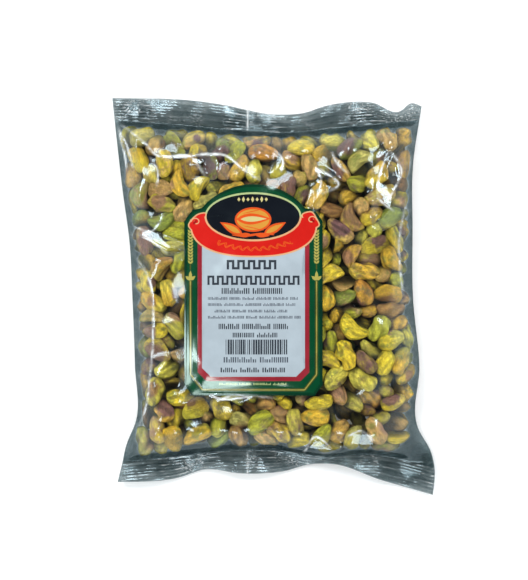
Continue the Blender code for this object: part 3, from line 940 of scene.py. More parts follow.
class Film:
    """The heights of the front of the bag, with its creases, and where there is nothing behind it."""

    def __init__(self, rng, points, faces):
        x, y = HeightMap.places()
        tops = kernel_tops(points, faces)
        outside = (np.abs(across(x, y)) >= 1) | (np.abs(lengthwise(x, y)) >= 1)
        level = back_height(x, y) + FILM
        tops = np.where(tops > 0, tops + FILM_GAP, 0)
        height = HeightMap(drape(tops, outside, level))
        edge = ease(1 - np.abs(across(x, y)), 0.02, 0.14) * ease(1 - np.abs(lengthwise(x, y)), 0.01, 0.08)
        slack = np.full(x.shape, LEAST_SLACK)
        for cx, cy, half_x, half_y, much in SLACK:
            slack = np.maximum(slack, much * np.exp(-(((x - cx) / half_x) ** 2) - ((y - cy) / half_y) ** 2))
        label_zone = HeightMap(in_label(x, y, LABEL_MARGIN).astype(float)).blurred(LABEL_BLEND).values
        label_zone = ease(label_zone, 0.0, LABEL_FADE)
        crumples = crumpled(rng, *LARGE_CRUMPLES) + crumpled(rng, *SMALL_CRUMPLES)
        loose = slack * edge * (1 - label_zone)
        self.heap = HeightMap(over(tops, height.blurred(FILM_STIFF), FILM_STIFF))
        values = self.heap.values + loose * (SLACK_RISE + crumples)
        stiff = bent_rim(x, y, over(tops, height.blurred(LABEL_STIFF), LABEL_REACH) + LABEL_SPACE)
        stiff = over(tops, HeightMap(stiff).blurred(LABEL_SOFTNESS), LABEL_RAISE)
        values = values * (1 - label_zone) + np.maximum(stiff, values) * label_zone
        # the white lines along the creases' ridges: painted highlights, partly the film's own whitening
        painted_crease_lines = np.zeros(x.shape)
        share = LEAST_CREASE + (1 - LEAST_CREASE) * ease(1 - np.abs(across(x, y)), 0.0, CREASE_FADE)
        for half_width, rise, route in CREASES:
            roof, line = crease(x, y, half_width, rise, route)
            values = values + roof * share
            painted_crease_lines = np.maximum(painted_crease_lines, line)
        self.painted_crease_lines = HeightMap(painted_crease_lines)
        for turn, outline in FACETS:
            values = with_facet(values, x, y, turn, outline)
        values = np.where(outside, level, np.maximum(np.minimum(values, FILM_TOP), tops))
        values = np.where(outside, level, HeightMap(values).blurred(FILM_SOFTNESS).values)
        self.label = HeightMap(over(tops, HeightMap(values).blurred(LABEL_RAISE), LABEL_RAISE))
        below_label = np.minimum(values, self.label.values + LABEL_LIFT - SHEET_GAP)
        self.front = HeightMap(np.where(in_label(x, y, FILM_OVER_LABEL), below_label, values))
        # where no kernel lies behind the film: the film's material tints it dark there as painted shade
        empty = HeightMap((tops <= 0).astype(float)).blurred(GAP_BLUR).values
        self.empty = HeightMap(ease(empty, *NO_KERNEL))


# ---------------------------------------------------------------- the film: its sheets

COLUMNS, POUCH_ROWS, STRIP_ROWS = 252, 288, 32
BACK_STEP = 4
CRIMP_PITCH, CRIMP_RISE = 1.7, 0.16
CRIMP_START = 0.12  # how far out in the strips the ridges reach their full height
LARGE_BACK_CRUMPLES, SMALL_BACK_CRUMPLES = (9.0, 0.2), (3.6, 0.1)  # spacing and rise, in the strips too
BACK_CRUMPLE = 0.5
OPEN_EDGE = 0.03  # how near to the folds and the strips the sheets part
RIM_TAPER = 0.02
MARGIN_START, MARGIN_END = 0.965, 0.99  # the film looks empty beside the folds, and is painted darker there
SHEET_GAP = 0.12
SHEET_SMOOTHING = 4
BACK_LIFT = 0.35
LAP_HALF_WIDTH = 5.0
PAINTED_STRIP_FOLD = -15.0  # an upright fold in both strips, only painted: a highlight line and stronger crimp lines
LAP_COLUMNS, LAP_ROWS = 10, 96
LAP_LENGTH_SHARE = 0.985
LAP_GAP, LAP_THICKNESS = 0.06, 0.14
SETTLING_ROUNDS = 8


def film_places():
    """The x and y of the film's grid of columns and rows, and how far out in a strip each row is."""
    u = np.linspace(-1, 1, COLUMNS + 1)[:, None]
    outwards = np.linspace(0, 1, STRIP_ROWS + 1)[1:]
    middle = np.linspace(-1, 1, POUCH_ROWS + 1)
    x = u * HALF_WIDTH + np.zeros((1, POUCH_ROWS + 2 * STRIP_ROWS + 1))
    for _ in range(SETTLING_ROUNDS):
        top, high, low, bottom = end_lines(x)
        inner = slice(STRIP_ROWS, STRIP_ROWS + POUCH_ROWS + 1)
        y = (high + low) / 2
        y[:, inner] += (high - low)[:, inner] / 2 * middle
        y[:, :STRIP_ROWS] = low[:, :STRIP_ROWS] - (low - bottom)[:, :STRIP_ROWS] * outwards[::-1]
        y[:, inner.stop :] = high[:, inner.stop :] + (top - high)[:, inner.stop :] * outwards
        left, right = smooth(LEFT_FOLD, y), smooth(RIGHT_FOLD, y)
        x = (left + right) / 2 + u * (right - left) / 2
    reach = np.concatenate([outwards[::-1], np.zeros(POUCH_ROWS + 1), outwards])
    return x, y, np.broadcast_to(reach, x.shape)


def strip_height(x, y, reach, crumples):
    """The middle height of the two sheets where they are sealed together, with the crimper's ridges."""
    top, high, low, bottom = end_lines(x)
    width = np.where(y > 0, top - high, low - bottom)
    ridges = np.sin(2 * np.pi * reach * width / CRIMP_PITCH)
    uneven = 0.55 + 0.45 * np.sin(x * 0.37 + 2 * np.sin(y * 0.21)) * np.sin(x * 0.11 + 1)
    inner = ease(reach, 0.0, CRIMP_START)
    return EDGE_LIFT + strip_wave(x, y) + inner * (CRIMP_RISE * uneven * ridges + crumples.at(x, y))


def painted_crimp_light(x, y, reach):
    """How light the sealed strip is painted, from -1 to 1: bands along it, and finer lines where the jaws
    pressed.
    """
    bands = np.sin(reach * 21 + 1.2 * np.sin(x * 0.09) + 0.8 * np.sin(x * 0.031 + 2))
    lines = np.sin(reach * 46 + 0.5 * np.sin(x * 0.05))
    pressed = 0.35 + 0.65 * ease(np.sin(x * 0.083 + 1.0 + 1.6 * np.sign(y)), -0.2, 0.6)
    pressed = np.maximum(pressed, ease(x, PAINTED_STRIP_FOLD, PAINTED_STRIP_FOLD + 1) * (1 - ease(x, 3, 7)))
    return np.where(reach > 0, 0.3 * bands + 0.7 * lines * pressed, 0)


def cell_ring(a, b, number):
    """The corners around a coarse cell, with every fine point where the cell lies on the sheet's rim."""
    rows = POUCH_ROWS + 2 * STRIP_ROWS
    i0, i1, j0, j1 = a * BACK_STEP, (a + 1) * BACK_STEP, b * BACK_STEP, (b + 1) * BACK_STEP
    sides = [
        ([(i, j0) for i in range(i0, i1)], j0 == 0),
        ([(i1, j) for j in range(j0, j1)], i1 == COLUMNS),
        ([(i, j1) for i in range(i1, i0, -1)], j1 == rows),
        ([(i0, j) for j in range(j1, j0, -1)], i0 == 0),
    ]
    ring = []
    for places, on_rim in sides:
        ring.extend(places if on_rim else places[:1])
    inner = next(k for k, (i, j) in enumerate(ring) if 0 < i < COLUMNS and 0 < j < rows)
    return [number(i, j) for i, j in ring[inner:] + ring[:inner]]


def cell_corners(number):
    """The numbers of the grid's points at the four corners of each cell, in turn round it."""
    return number[:-1, :-1], number[1:, :-1], number[1:, 1:], number[:-1, 1:]


def back_sheet_height(x, y):
    """The back sheet's height, before its crumples."""
    u, v = np.abs(across(x, y)), np.abs(lengthwise(x, y))
    return back_height(x, y) + BACK_LIFT * (1 - v**6) * (1 - u**6)


def make_film(rng, film, materials):
    """The pouch as one closed sheet: a fine front, and a coarser back that shares its rim."""
    x, y, reach = film_places()
    rows = POUCH_ROWS + 2 * STRIP_ROWS
    crumples = HeightMap(crumpled(rng, *LARGE_BACK_CRUMPLES) + crumpled(rng, *SMALL_BACK_CRUMPLES))
    sealed = strip_height(x, y, reach, crumples)
    u, v = np.abs(across(x, y)), np.abs(lengthwise(x, y))
    open_share = np.where(reach > 0, 0, ease(1 - u, 0, OPEN_EDGE) * ease(1 - v, 0, OPEN_EDGE))
    front = np.where(reach > 0, sealed, EDGE_LIFT) * (1 - open_share) + film.front.at(x, y) * open_share
    for _ in range(SHEET_SMOOTHING):
        for axis in (0, 1):
            mean = (np.roll(front, 1, axis) + 2 * front + np.roll(front, -1, axis)) / 4
            front = front * (1 - open_share) + mean * open_share
    gap = SHEET_GAP * ease(np.minimum(1 - u, np.where(reach > 0, 1 - reach, 1)), 0, RIM_TAPER)
    front = front + gap
    under = back_sheet_height(x, y)
    loose = open_share * ease(under, 0, 2) * ease(np.abs(x), LAP_HALF_WIDTH, 2 * LAP_HALF_WIDTH)
    back = np.where(reach > 0, sealed, under + BACK_CRUMPLE * crumples.at(x, y) * loose) - gap
    back = np.maximum(back, BACK_LIFT)

    on_rim = np.zeros(x.shape, bool)
    on_rim[[0, -1], :] = True
    on_rim[:, [0, -1]] = True
    coarse = np.zeros(x.shape, bool)
    coarse[::BACK_STEP, ::BACK_STEP] = True
    coarse &= ~on_rim
    front_number = np.arange(x.size).reshape(x.shape)
    back_number = np.where(on_rim, front_number, -1)
    back_number[coarse] = x.size + np.arange(coarse.sum())
    front = np.where(on_rim, np.minimum(front, sealed + SHEET_GAP), front)
    fine_points = np.stack([x, y, front], -1).reshape(-1, 3)
    points = np.concatenate([fine_points, np.stack([x[coarse], y[coarse], back[coarse]], -1)])
    low, right, high, left = (side.ravel() for side in cell_corners(front_number))
    front_faces = np.concatenate([np.stack([low, right, high], 1), np.stack([low, high, left], 1)])
    back_faces = []
    for a in range(COLUMNS // BACK_STEP):
        for b in range(rows // BACK_STEP):
            ring = cell_ring(a, b, lambda i, j: int(back_number[i, j]))
            for k in range(1, len(ring) - 1):
                back_faces.append((ring[0], ring[k + 1], ring[k]))
    faces = np.concatenate([front_faces, np.array(back_faces)])
    kinds = np.concatenate([np.zeros(len(front_faces), int), np.ones(len(back_faces), int)])
    piece = mesh_piece("bag_film_pouch", points, faces, materials, face_materials=kinds)
    px, py = points[:, 0], points[:, 1]
    shares = np.concatenate([reach.ravel(), reach[coarse]])
    # painted shade: the film is tinted dark in the strips, beside the folds and where no kernel lies behind
    # it
    margins = ease(np.abs(across(px, py)), MARGIN_START, MARGIN_END)
    empty = np.where(shares > 0, 1.0, np.maximum(film.empty.at(px, py), margins))
    point_attribute(piece, "film_painted_shade", empty)
    point_attribute(piece, "film_seal", ease(shares, 0, 0.1))
    point_attribute(piece, "film_painted_crimp", painted_crimp_light(px, py, shares))
    # painted highlight line along the strips' upright fold
    fold_highlight = 0.7 * np.exp(-(((px - PAINTED_STRIP_FOLD) / 0.6) ** 2))
    point_attribute(piece, "film_crease_highlight", np.where(shares > 0, fold_highlight, film.painted_crease_lines.at(px, py)))
    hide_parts("bag_film")


def make_lap_seam(material):
    """The seam down the back, where the film's two sides are lapped and welded: a closed band."""
    u = np.linspace(-1, 1, LAP_COLUMNS + 1)[:, None]
    v = np.linspace(-1, 1, LAP_ROWS + 1)[None, :]
    x = u * LAP_HALF_WIDTH + 0 * v
    bottom, top = smooth(BOTTOM_SEAL, x), smooth(TOP_SEAL, x)
    y = (bottom + top) / 2 + v * (top - bottom) / 2 * LAP_LENGTH_SHARE
    upper = np.maximum(back_sheet_height(x, y), BACK_LIFT) - LAP_GAP
    lower = upper - LAP_THICKNESS * (1 - 0.6 * u**2)
    shape = x.shape
    points = np.concatenate([np.stack([x, y, level], -1).reshape(-1, 3) for level in (upper, lower)])
    number = np.arange(x.size).reshape(shape)
    quads = np.stack(cell_corners(number), -1).reshape(-1, 4)
    ring = np.concatenate([number[:-1, 0], number[-1, :-1], number[:0:-1, -1], number[0, :0:-1]])
    after = np.roll(ring, -1)
    walls = np.stack([ring, ring + x.size, after + x.size, after], -1)
    faces = np.concatenate([quads, quads[:, ::-1] + x.size, walls])
    piece = mesh_piece("bag_lap_seam", points, faces, [material])
    edges = np.tile(ease(np.abs(u) + 0 * v, 0.72, 1.0).ravel(), 2)
    # painted shade on the lap, darker towards its edges
    point_attribute(piece, "film_painted_shade", 0.25 + 0.4 * edges)
    point_attribute(piece, "film_crease_highlight", 0.35 * edges)


def film_material(name, back):
    """Thin clear film: what is behind it shows through, and its face sends some light straight back."""
    # The film's colour is partly painted: a dark tint as shade, white glints in the strips and white
    # highlights along the creases.
    n = Nodes(name)
    place = n.add("TexCoord").outputs["Object"]
    seal, crimp = n.read("film_seal"), n.read("film_painted_crimp")
    cloud = n.noise(n.stretched(place, 1.0, 1.6, 1.0), 110.0, 4.0, 0.65)
    # painted shade: a dark tint where nothing lies behind the film
    dim = n.times(n.read("film_painted_shade"), n.ranged(cloud, 0.3, 0.7, 0.8, 1.0))
    # painted light and shade: bands and lines along the crimped strips
    dim = n.times(dim, n.ranged(crimp, -0.9, 1.0, 1.0, 0.66))
    dim = n.times(dim, n.ranged(seal, 0.0, 1.0, 1.0, 0.78))
    tint = n.mixed(dim, (0.97, 0.98, 0.98, 1), (0.09, 0.155, 0.165, 1))
    clear = n.add("BsdfTransparent", Color=tint)
    gloss = n.add("BsdfGlossy", Color=(0.74, 0.92, 1, 1), Roughness=0.11)
    if back:
        return n.surface(n.add("MixShader", i0=0.06, i1=clear, i2=gloss))
    # painted glints: white specks in the strips and white along the crimp lines
    grain = n.noise(n.stretched(place, 1.0, 2.2, 1.0), 900.0, 2.0, 0.6)
    patches = n.noise(place, 45.0, 2.0)
    painted_glints_and_whitening = n.times(n.ranged(grain, 0.56, 0.68), n.ranged(patches, 0.48, 0.6))
    painted_glints_and_whitening = n.times(painted_glints_and_whitening, n.times(seal, 0.8))
    threads = n.noise(n.stretched(place, 0.25, 1.0, 1.0), 700.0, 2.0)
    pressed = n.times(n.ranged(crimp, 0.2, 0.9), n.ranged(threads, 0.48, 0.62, 0.0, 0.5))
    # painted highlight along the creases and the strips' fold, partly the film's own whitening
    white = n.times(n.read("film_crease_highlight"), n.ranged(cloud, 0.42, 0.58, 0.3, 1.0))
    painted_glints_and_whitening = n.maths("MAXIMUM", n.maths("MAXIMUM", painted_glints_and_whitening, pressed), white)
    # white painted in: glints in the strips, and highlights along the creases that are partly the film's
    # whitening
    body = n.add("MixShader", i0=painted_glints_and_whitening, i1=clear, i2=n.add("BsdfDiffuse", Color=(0.86, 0.9, 0.9, 1)))
    fresnel = n.add("Fresnel", IOR=1.5).outputs[0]
    shine = n.maths("MINIMUM", n.times(fresnel, 1.4), 0.07)
    return n.surface(n.add("MixShader", i0=shine, i1=body, i2=gloss))


# ---------------------------------------------------------------- the label's art

INKS = {  # ink: its colour and its roughness
    "green": ((0, 78, 44), 0.32),
    "dark_green": ((0, 58, 34), 0.32),
    "panel": ((198, 212, 222), 0.42),
    "crimson": ((172, 40, 56), 0.35),
    "gold": ((196, 184, 92), 0.3),
    "bronze": ((92, 92, 36), 0.3),
    "black": ((18, 22, 32), 0.28),
    "pale_green": ((200, 214, 150), 0.35),
    "pale_orange": ((250, 190, 138), 0.35),
    "red": ((236, 34, 26), 0.3),
    "dark_red": ((176, 20, 20), 0.3),
    "orange": ((250, 96, 34), 0.3),
    "amber": ((240, 168, 66), 0.3),
    "cream": ((236, 222, 150), 0.35),
    "ink": ((58, 64, 74), 0.4),
    "faint_ink": ((90, 98, 110), 0.42),
}
OVAL_X, OVAL_Y, OVAL_WIDE, OVAL_HIGH = -11.7, 45.4, 26.5, 12.9
OVAL_LINE = 1.1
RIBBON_X, RIBBON_Y, RIBBON_WIDE, RIBBON_HIGH = -11.4, 41.7, 35.4, 18.5
RIBBON_LINE = 0.9
RIBBON_POWER = 2.4
PANEL_LEFT, PANEL_RIGHT, PANEL_LOW, PANEL_CUT = -40.8, 17.8, -45.7, 5.0

LEFT_SCROLL = [
    *[(-38.8, 46.9), (-42.6, 46.6), (-45.6, 44.4), (-48.0, 41.1), (-47.4, 39.0), (-45.8, 38.4)],
    (-41.7, 41.7),
]
RIGHT_SCROLL = [
    *[(16.6, 46.5), (20.2, 47.9), (22.3, 47.2), (24.2, 44.0), (25.6, 41.1), (24.7, 39.9)],
    *[(22.3, 39.3), (18.1, 43.2)],
]

# Bands where large print would stand: low, high, left, right and how many turns.
KEY_LINE = 0.45  # their line's width, as a share of half a turn
LARGE_ROWS = [(15.4, 20.8, -26.7, 3.2, 5), (6.6, 11.9, -37.7, 16.2, 10)]

STRIPES_LEFT, STRIPES_RIGHT, STRIPES_LOW, STRIPES_HIGH = -27.3, 7.4, -33.0, -24.5

# Rows that stand for small print: low, high, left, right, the ink, and how wide a letter's place is.
PRINT_ROWS = [
    (1.5, 4.8, -29.6, 11.2, "ink", 2.3),
    (-1.9, -0.3, -37.4, 14.0, "faint_ink", 1.5),
    (-5.4, -3.8, -37.4, 15.6, "faint_ink", 1.5),
    (-9.1, -7.5, -33.6, 11.4, "faint_ink", 1.5),
    (-12.6, -11.0, -37.4, 15.6, "faint_ink", 1.5),
    (-18.6, -15.5, -31.3, 8.9, "ink", 2.2),
    (-23.3, -20.6, -23.3, 2.6, "ink", 2.1),
    (-37.6, -34.5, -28.5, 8.9, "faint_ink", 2.7),
    (-43.2, -40.5, -30.2, 6.6, "ink", 2.5),
    (-50.5, -49.2, -31.0, 8.0, "pale_green", 1.5),
]


def oval(x, y, wide, high, power=2.0, start=0.0, end=360.0, steps=96):
    """Points round an oval, or part of one. A power above 2 makes it squarer."""
    turns = np.radians(np.linspace(start, end, steps, endpoint=end - start < 360))
    c, s = np.cos(turns), np.sin(turns)
    px = x + wide * np.sign(c) * np.abs(c) ** (2 / power)
    py = y + high * np.sign(s) * np.abs(s) ** (2 / power)
    return list(zip(px, py))


def stroke(route, width, taper=0.0):
    """The outline of a line of some width along a route."""
    spots = np.array(route, float)
    run = np.gradient(spots, axis=0)
    run /= np.linalg.norm(run, axis=1, keepdims=True)
    side = np.stack([-run[:, 1], run[:, 0]], axis=1)
    share = np.linspace(0, 1, len(spots))
    half = 0.5 * width * (1 - taper * np.abs(2 * share - 1) ** 2)[:, None]
    return [tuple(p) for p in np.vstack([spots + side * half, (spots - side * half)[::-1]])]


def leaf(x, y, length, width, turn):
    """A pointed leaf from a place, in the direction of turn in degrees."""
    share = np.linspace(0, 1, 9)
    spread = width / 2 * np.sin(np.pi * share**0.8)
    c, s = math.cos(math.radians(turn)), math.sin(math.radians(turn))
    upper = [(x + c * length * t - s * w, y + s * length * t + c * w) for t, w in zip(share, spread)]
    lower = [(x + c * length * t + s * w, y + s * length * t - c * w) for t, w in zip(share, spread)]
    return upper + lower[-2:0:-1]


def grown(outline, margin):
    """The outline moved outwards by a margin."""
    spots = np.array(outline, float)
    area = 0.5 * np.sum(spots[:, 0] * np.roll(spots[:, 1], -1) - spots[:, 1] * np.roll(spots[:, 0], -1))
    before, after = spots - np.roll(spots, 1, axis=0), np.roll(spots, -1, axis=0) - spots
    before /= np.linalg.norm(before, axis=1, keepdims=True)
    after /= np.linalg.norm(after, axis=1, keepdims=True)
    run = before + after
    run /= np.maximum(np.linalg.norm(run, axis=1, keepdims=True), 1e-6)
    out = np.stack([run[:, 1], -run[:, 0]], axis=1) * np.sign(area)
    return [tuple(p) for p in spots + out * margin]


def smooth_loop(outline, steps=6):
    """A closed smooth curve through the outline's points."""
    spots = np.array(outline, float)
    made = []
    for k in range(len(spots)):
        a, b, c, d = (spots[(k + j) % len(spots)] for j in (-1, 0, 1, 2))
        for f in np.linspace(0, 1, steps, endpoint=False):
            square, cube = 2 * a - 5 * b + 4 * c - d, 3 * b - a - 3 * c + d
            made.append(tuple(0.5 * (2 * b + (c - a) * f + square * f**2 + cube * f**3)))
    return made


def label_outline(margin=0.0):
    """The label's outline: cut lower corners, stepped shoulders and a round arch on top."""
    half = [(x + margin, y) for x, y in LABEL_CORNER + LABEL_SHOULDER]
    foot, rise = LABEL_SHOULDER[-1][0] + margin, LABEL_TOP + margin - LABEL_SHOULDER[-1][1]
    radius = (foot * foot + rise * rise) / (2 * rise)
    sweep = math.asin(foot / radius)
    arch = [
        (radius * math.sin(t), LABEL_TOP + margin - radius + radius * math.cos(t))
        for t in np.linspace(sweep, -sweep, 41)[1:-1]
    ]
    side = half + arch + [(-x, y) for x, y in half[::-1]]
    return [(x + LABEL_X, y + LABEL_Y) for x, y in side]


def cut_panel(margin, top):
    """The pale panel with its two lower corners cut, moved outwards by a margin."""
    left, right, low = PANEL_LEFT - margin, PANEL_RIGHT + margin, PANEL_LOW - margin
    cut = PANEL_CUT
    foot = [(left, low + cut), (left + cut, low), (right - cut, low), (right, low + cut)]
    return foot[1:] + [(right, top), (left, top)] + foot[:1]


def bar(left, low, right, high):
    return [(left, low), (right, low), (right, high), (left, high)]


def key_row(low, high, left, right, count):
    """A bold band that runs up and down like a Greek key, where a word in large print would stand."""
    made = []
    pitch = (right - left) / count / 2
    line = KEY_LINE * pitch
    for k in range(2 * count):
        x = left + pitch * k
        made.append(bar(x, low, x + line, high))
        if k < 2 * count - 1:
            foot = high - line if k % 2 == 0 else low
            made.append(bar(x, foot, x + pitch + line, foot + line))
    return made


def tick_row(rng, low, high, left, right, letter):
    """Small ticks in words, which stand for a row of print without saying anything."""
    made = []
    x = left
    word = int(rng.integers(8, 17))
    while x + letter * 0.3 < right:
        wide = letter * rng.uniform(0.22, 0.34)
        short = (high - low) * rng.choice([0, 0, 0, 0.4])
        made.append(bar(x, low, x + wide, high - short))
        x += wide + letter * rng.uniform(0.16, 0.26)
        word -= 1
        if word == 0:
            x += letter * 0.6
            word = int(rng.integers(8, 17))
            if right - x < 2 * letter:
                break
    return made


def stripes(rng):
    """Plain upright stripes of uneven width, which code nothing."""
    made = []
    x = STRIPES_LEFT
    while x < STRIPES_RIGHT:
        wide = rng.choice([0.35, 0.7, 1.05])
        made.append(bar(x, STRIPES_LOW, x + wide, STRIPES_HIGH))
        x += wide + rng.choice([0.35, 0.5, 0.8])
    return made


def grain_ear(x, top, bottom):
    """An ear of grain: pairs of small leaves down a stem."""
    made = []
    for y in np.arange(bottom, top, 1.75):
        made.append(leaf(x, y, 2.5, 1.15, 52))
        made.append(leaf(x, y, 2.5, 1.15, 128))
    return made


def nut_emblem(x, y):
    """An open pistachio nut between two leaves, in orange with amber inside."""
    art = [("orange", oval(x, y, 10.4, 7.0)), ("amber", oval(x, y, 9.3, 5.9))]
    art.append(("orange", leaf(x - 9.6, y + 0.2, 19.6, 6.4, 1.0)))
    art.append(("cream", leaf(x - 7.2, y + 0.2, 15.0, 3.1, 1.0)))
    for shift in (-3.4, 3.4):
        rib = [(x - 6 + 0.3 * k, y + shift * (1 + 0.02 * k)) for k in range(41)]
        art.append(("orange", stroke(rib, 0.45, 0.8)))
    for side in (-1, 1):
        turn = 58 if side > 0 else 122
        base = (x + side * 6.0, y - 8.3)
        art.append(("orange", leaf(base[0], base[1], 14.5, 5.2, 90 - side * 62)))
        art.append(("amber", leaf(base[0] + side * 1.3, base[1] + 0.7, 11.0, 2.9, 90 - side * 62)))
        art.append(("orange", leaf(x + side * 1.0, y - 8.6, 8.6, 2.6, turn - side * 62)))
    ground = [(x - 12 + 0.6 * k, y - 8.7 - 0.6 * math.sin(0.157 * k)) for k in range(41)]
    art.append(("orange", stroke(ground, 1.3, 0.7)))
    return art


def label_art(rng):
    """Every printed shape, from the lowest to the uppermost, as its ink and its outline."""
    art = [("dark_green", grown(label_outline(), -0.9)), ("green", grown(label_outline(), -1.6))]
    art.append(("crimson", cut_panel(2.5, 34.0)))
    art.append(("panel", cut_panel(0.0, 34.0)))
    for x in (LABEL_X - 35.9, LABEL_X + 35.9):
        art += [("gold", shape) for shape in grain_ear(x, 37.6, 18.7)]
        for turn, length in ((90, 5.4), (38, 3.6), (142, 3.6)):
            art.append(("gold", leaf(x, 9.4, length, 1.9, turn)))
        art.append(("gold", leaf(x - 1.6, 9.6, 3.2, 1.0, 0)))
        art.append(("bronze", stroke([(x, y) for y in np.linspace(18.4, 15.4, 6)], 0.7)))
    corner = [(-47.4, 8.8), (-47.4, -44.4), (-40.6, -53.2), (17.6, -53.2), (24.4, -44.4), (24.4, 8.8)]
    # the border: a bronze line with a thin gold line along its middle, which is a painted highlight of the
    # foil
    for ink, width in (("bronze", 1.7), ("gold", 0.55)):
        art += [(ink, stroke([start, end], width)) for start, end in zip(corner, corner[1:])]
    art.append(("pale_green", oval(OVAL_X, OVAL_Y, OVAL_WIDE + OVAL_LINE, OVAL_HIGH + OVAL_LINE)))
    art.append(("pale_orange", ribbon_body(RIBBON_LINE)))
    for scroll in (LEFT_SCROLL, RIGHT_SCROLL):
        art.append(("pale_orange", grown(smooth_loop(scroll), RIBBON_LINE * 0.8)))
    art.append(("red", ribbon_body(0.0)))
    for side, scroll in ((-1, LEFT_SCROLL), (1, RIGHT_SCROLL)):
        art.append(("red", smooth_loop(scroll)))
        middle = np.mean(scroll, axis=0)
        curl = []
        for k in range(22):
            out, up = (2.6 - 0.09 * k) * math.cos(0.33 * k), (2.3 - 0.08 * k) * math.sin(0.33 * k)
            curl.append((middle[0] + side * out, middle[1] + up))
        art.append(("pale_orange", stroke(curl, 0.55)))
        art.append(("dark_red", leaf(middle[0] + side * 1.5, middle[1] - 1.5, 3.4, 1.4, 90 + side * 40)))
    rim = (OVAL_X, OVAL_Y, OVAL_WIDE + OVAL_LINE, OVAL_HIGH + OVAL_LINE)
    art.append(("pale_orange", oval(*rim, 2, 180, 360)))
    art.append(("black", oval(OVAL_X, OVAL_Y, OVAL_WIDE, OVAL_HIGH)))
    art += nut_emblem(OVAL_X, OVAL_Y - 1.6)
    for k in range(-3, 4):
        x, y, half = OVAL_X - 0.3 + 2.6 * k, 55.3, 1.15 if k % 2 else 1.7
        art.append(("cream", [(x - 0.9, y), (x, y - half), (x + 0.9, y), (x, y + half)]))
    for phase, high in ((0.0, 1.9), (1.1, 1.2)):
        turns = np.radians(np.linspace(228, 312, 120))
        wave = 1 + high / 24 * np.sin(turns * 42 + phase)
        flourish = []
        for t, w in zip(turns, wave):
            flourish.append((RIBBON_X + 31.5 * w * math.cos(t), RIBBON_Y + 1.3 + 15.9 * w * math.sin(t)))
        art.append(("orange", stroke(flourish, 0.42)))
    for row in LARGE_ROWS:
        art += [("ink", shape) for shape in key_row(*row)]
    for low, high, left, right, ink, letter in PRINT_ROWS:
        art += [(ink, tick) for tick in tick_row(rng, low, high, left, right, letter)]
    art += [("ink", stripe) for stripe in stripes(rng)]
    return art


def ribbon_body(margin):
    """The ribbon under the oval, from its left end round the bottom to its right end."""
    under = oval(RIBBON_X, RIBBON_Y, RIBBON_WIDE + margin, RIBBON_HIGH + margin, RIBBON_POWER, 176, 364, 90)
    over_edge = oval(OVAL_X, OVAL_Y, OVAL_WIDE + OVAL_LINE, OVAL_HIGH + OVAL_LINE, 2.0, 358, 182, 90)
    return under + over_edge


# ---------------------------------------------------------------- the label: its sheet

LABEL_MESH = 2.0  # between the sheet's inner points
LABEL_LIFT = 0.25
PRINT_DENSITY = 0.64
LABEL_GRID_X, LABEL_GRID_Y = (-52, 29), (-57, 65)
EDGE_MARGIN = 0.6  # how far from the edge the inner points stay
PAPER = ((226, 232, 228), 0.5)


def ink_material(name, colour, roughness):
    """A slightly mottled satin ink."""
    n = Nodes("label_" + name)
    place = n.add("TexCoord").outputs["Object"]
    mottle = n.noise(place, 90.0, 4.0, 0.6)
    grain = n.noise(place, 1400.0, 2.0)
    base = n.scaled(tuple(linear(*colour) * PRINT_DENSITY), n.ranged(mottle, 0.3, 0.7, 0.95, 1.04))
    bump = n.add("Bump", Height=n.plus(mottle, n.times(grain, 0.15)), Strength=0.2, Distance=0.0004)
    gloss = n.ranged(mottle, 0.3, 0.7, roughness * 0.35, roughness * 0.55)
    sheen = {"Specular_IOR_Level": 1.0, "Specular_Tint": (0.78, 1, 0.95, 1)}
    return n.surface(n.add("BsdfPrincipled", Base_Color=base, Roughness=gloss, Normal=bump, **sheen))


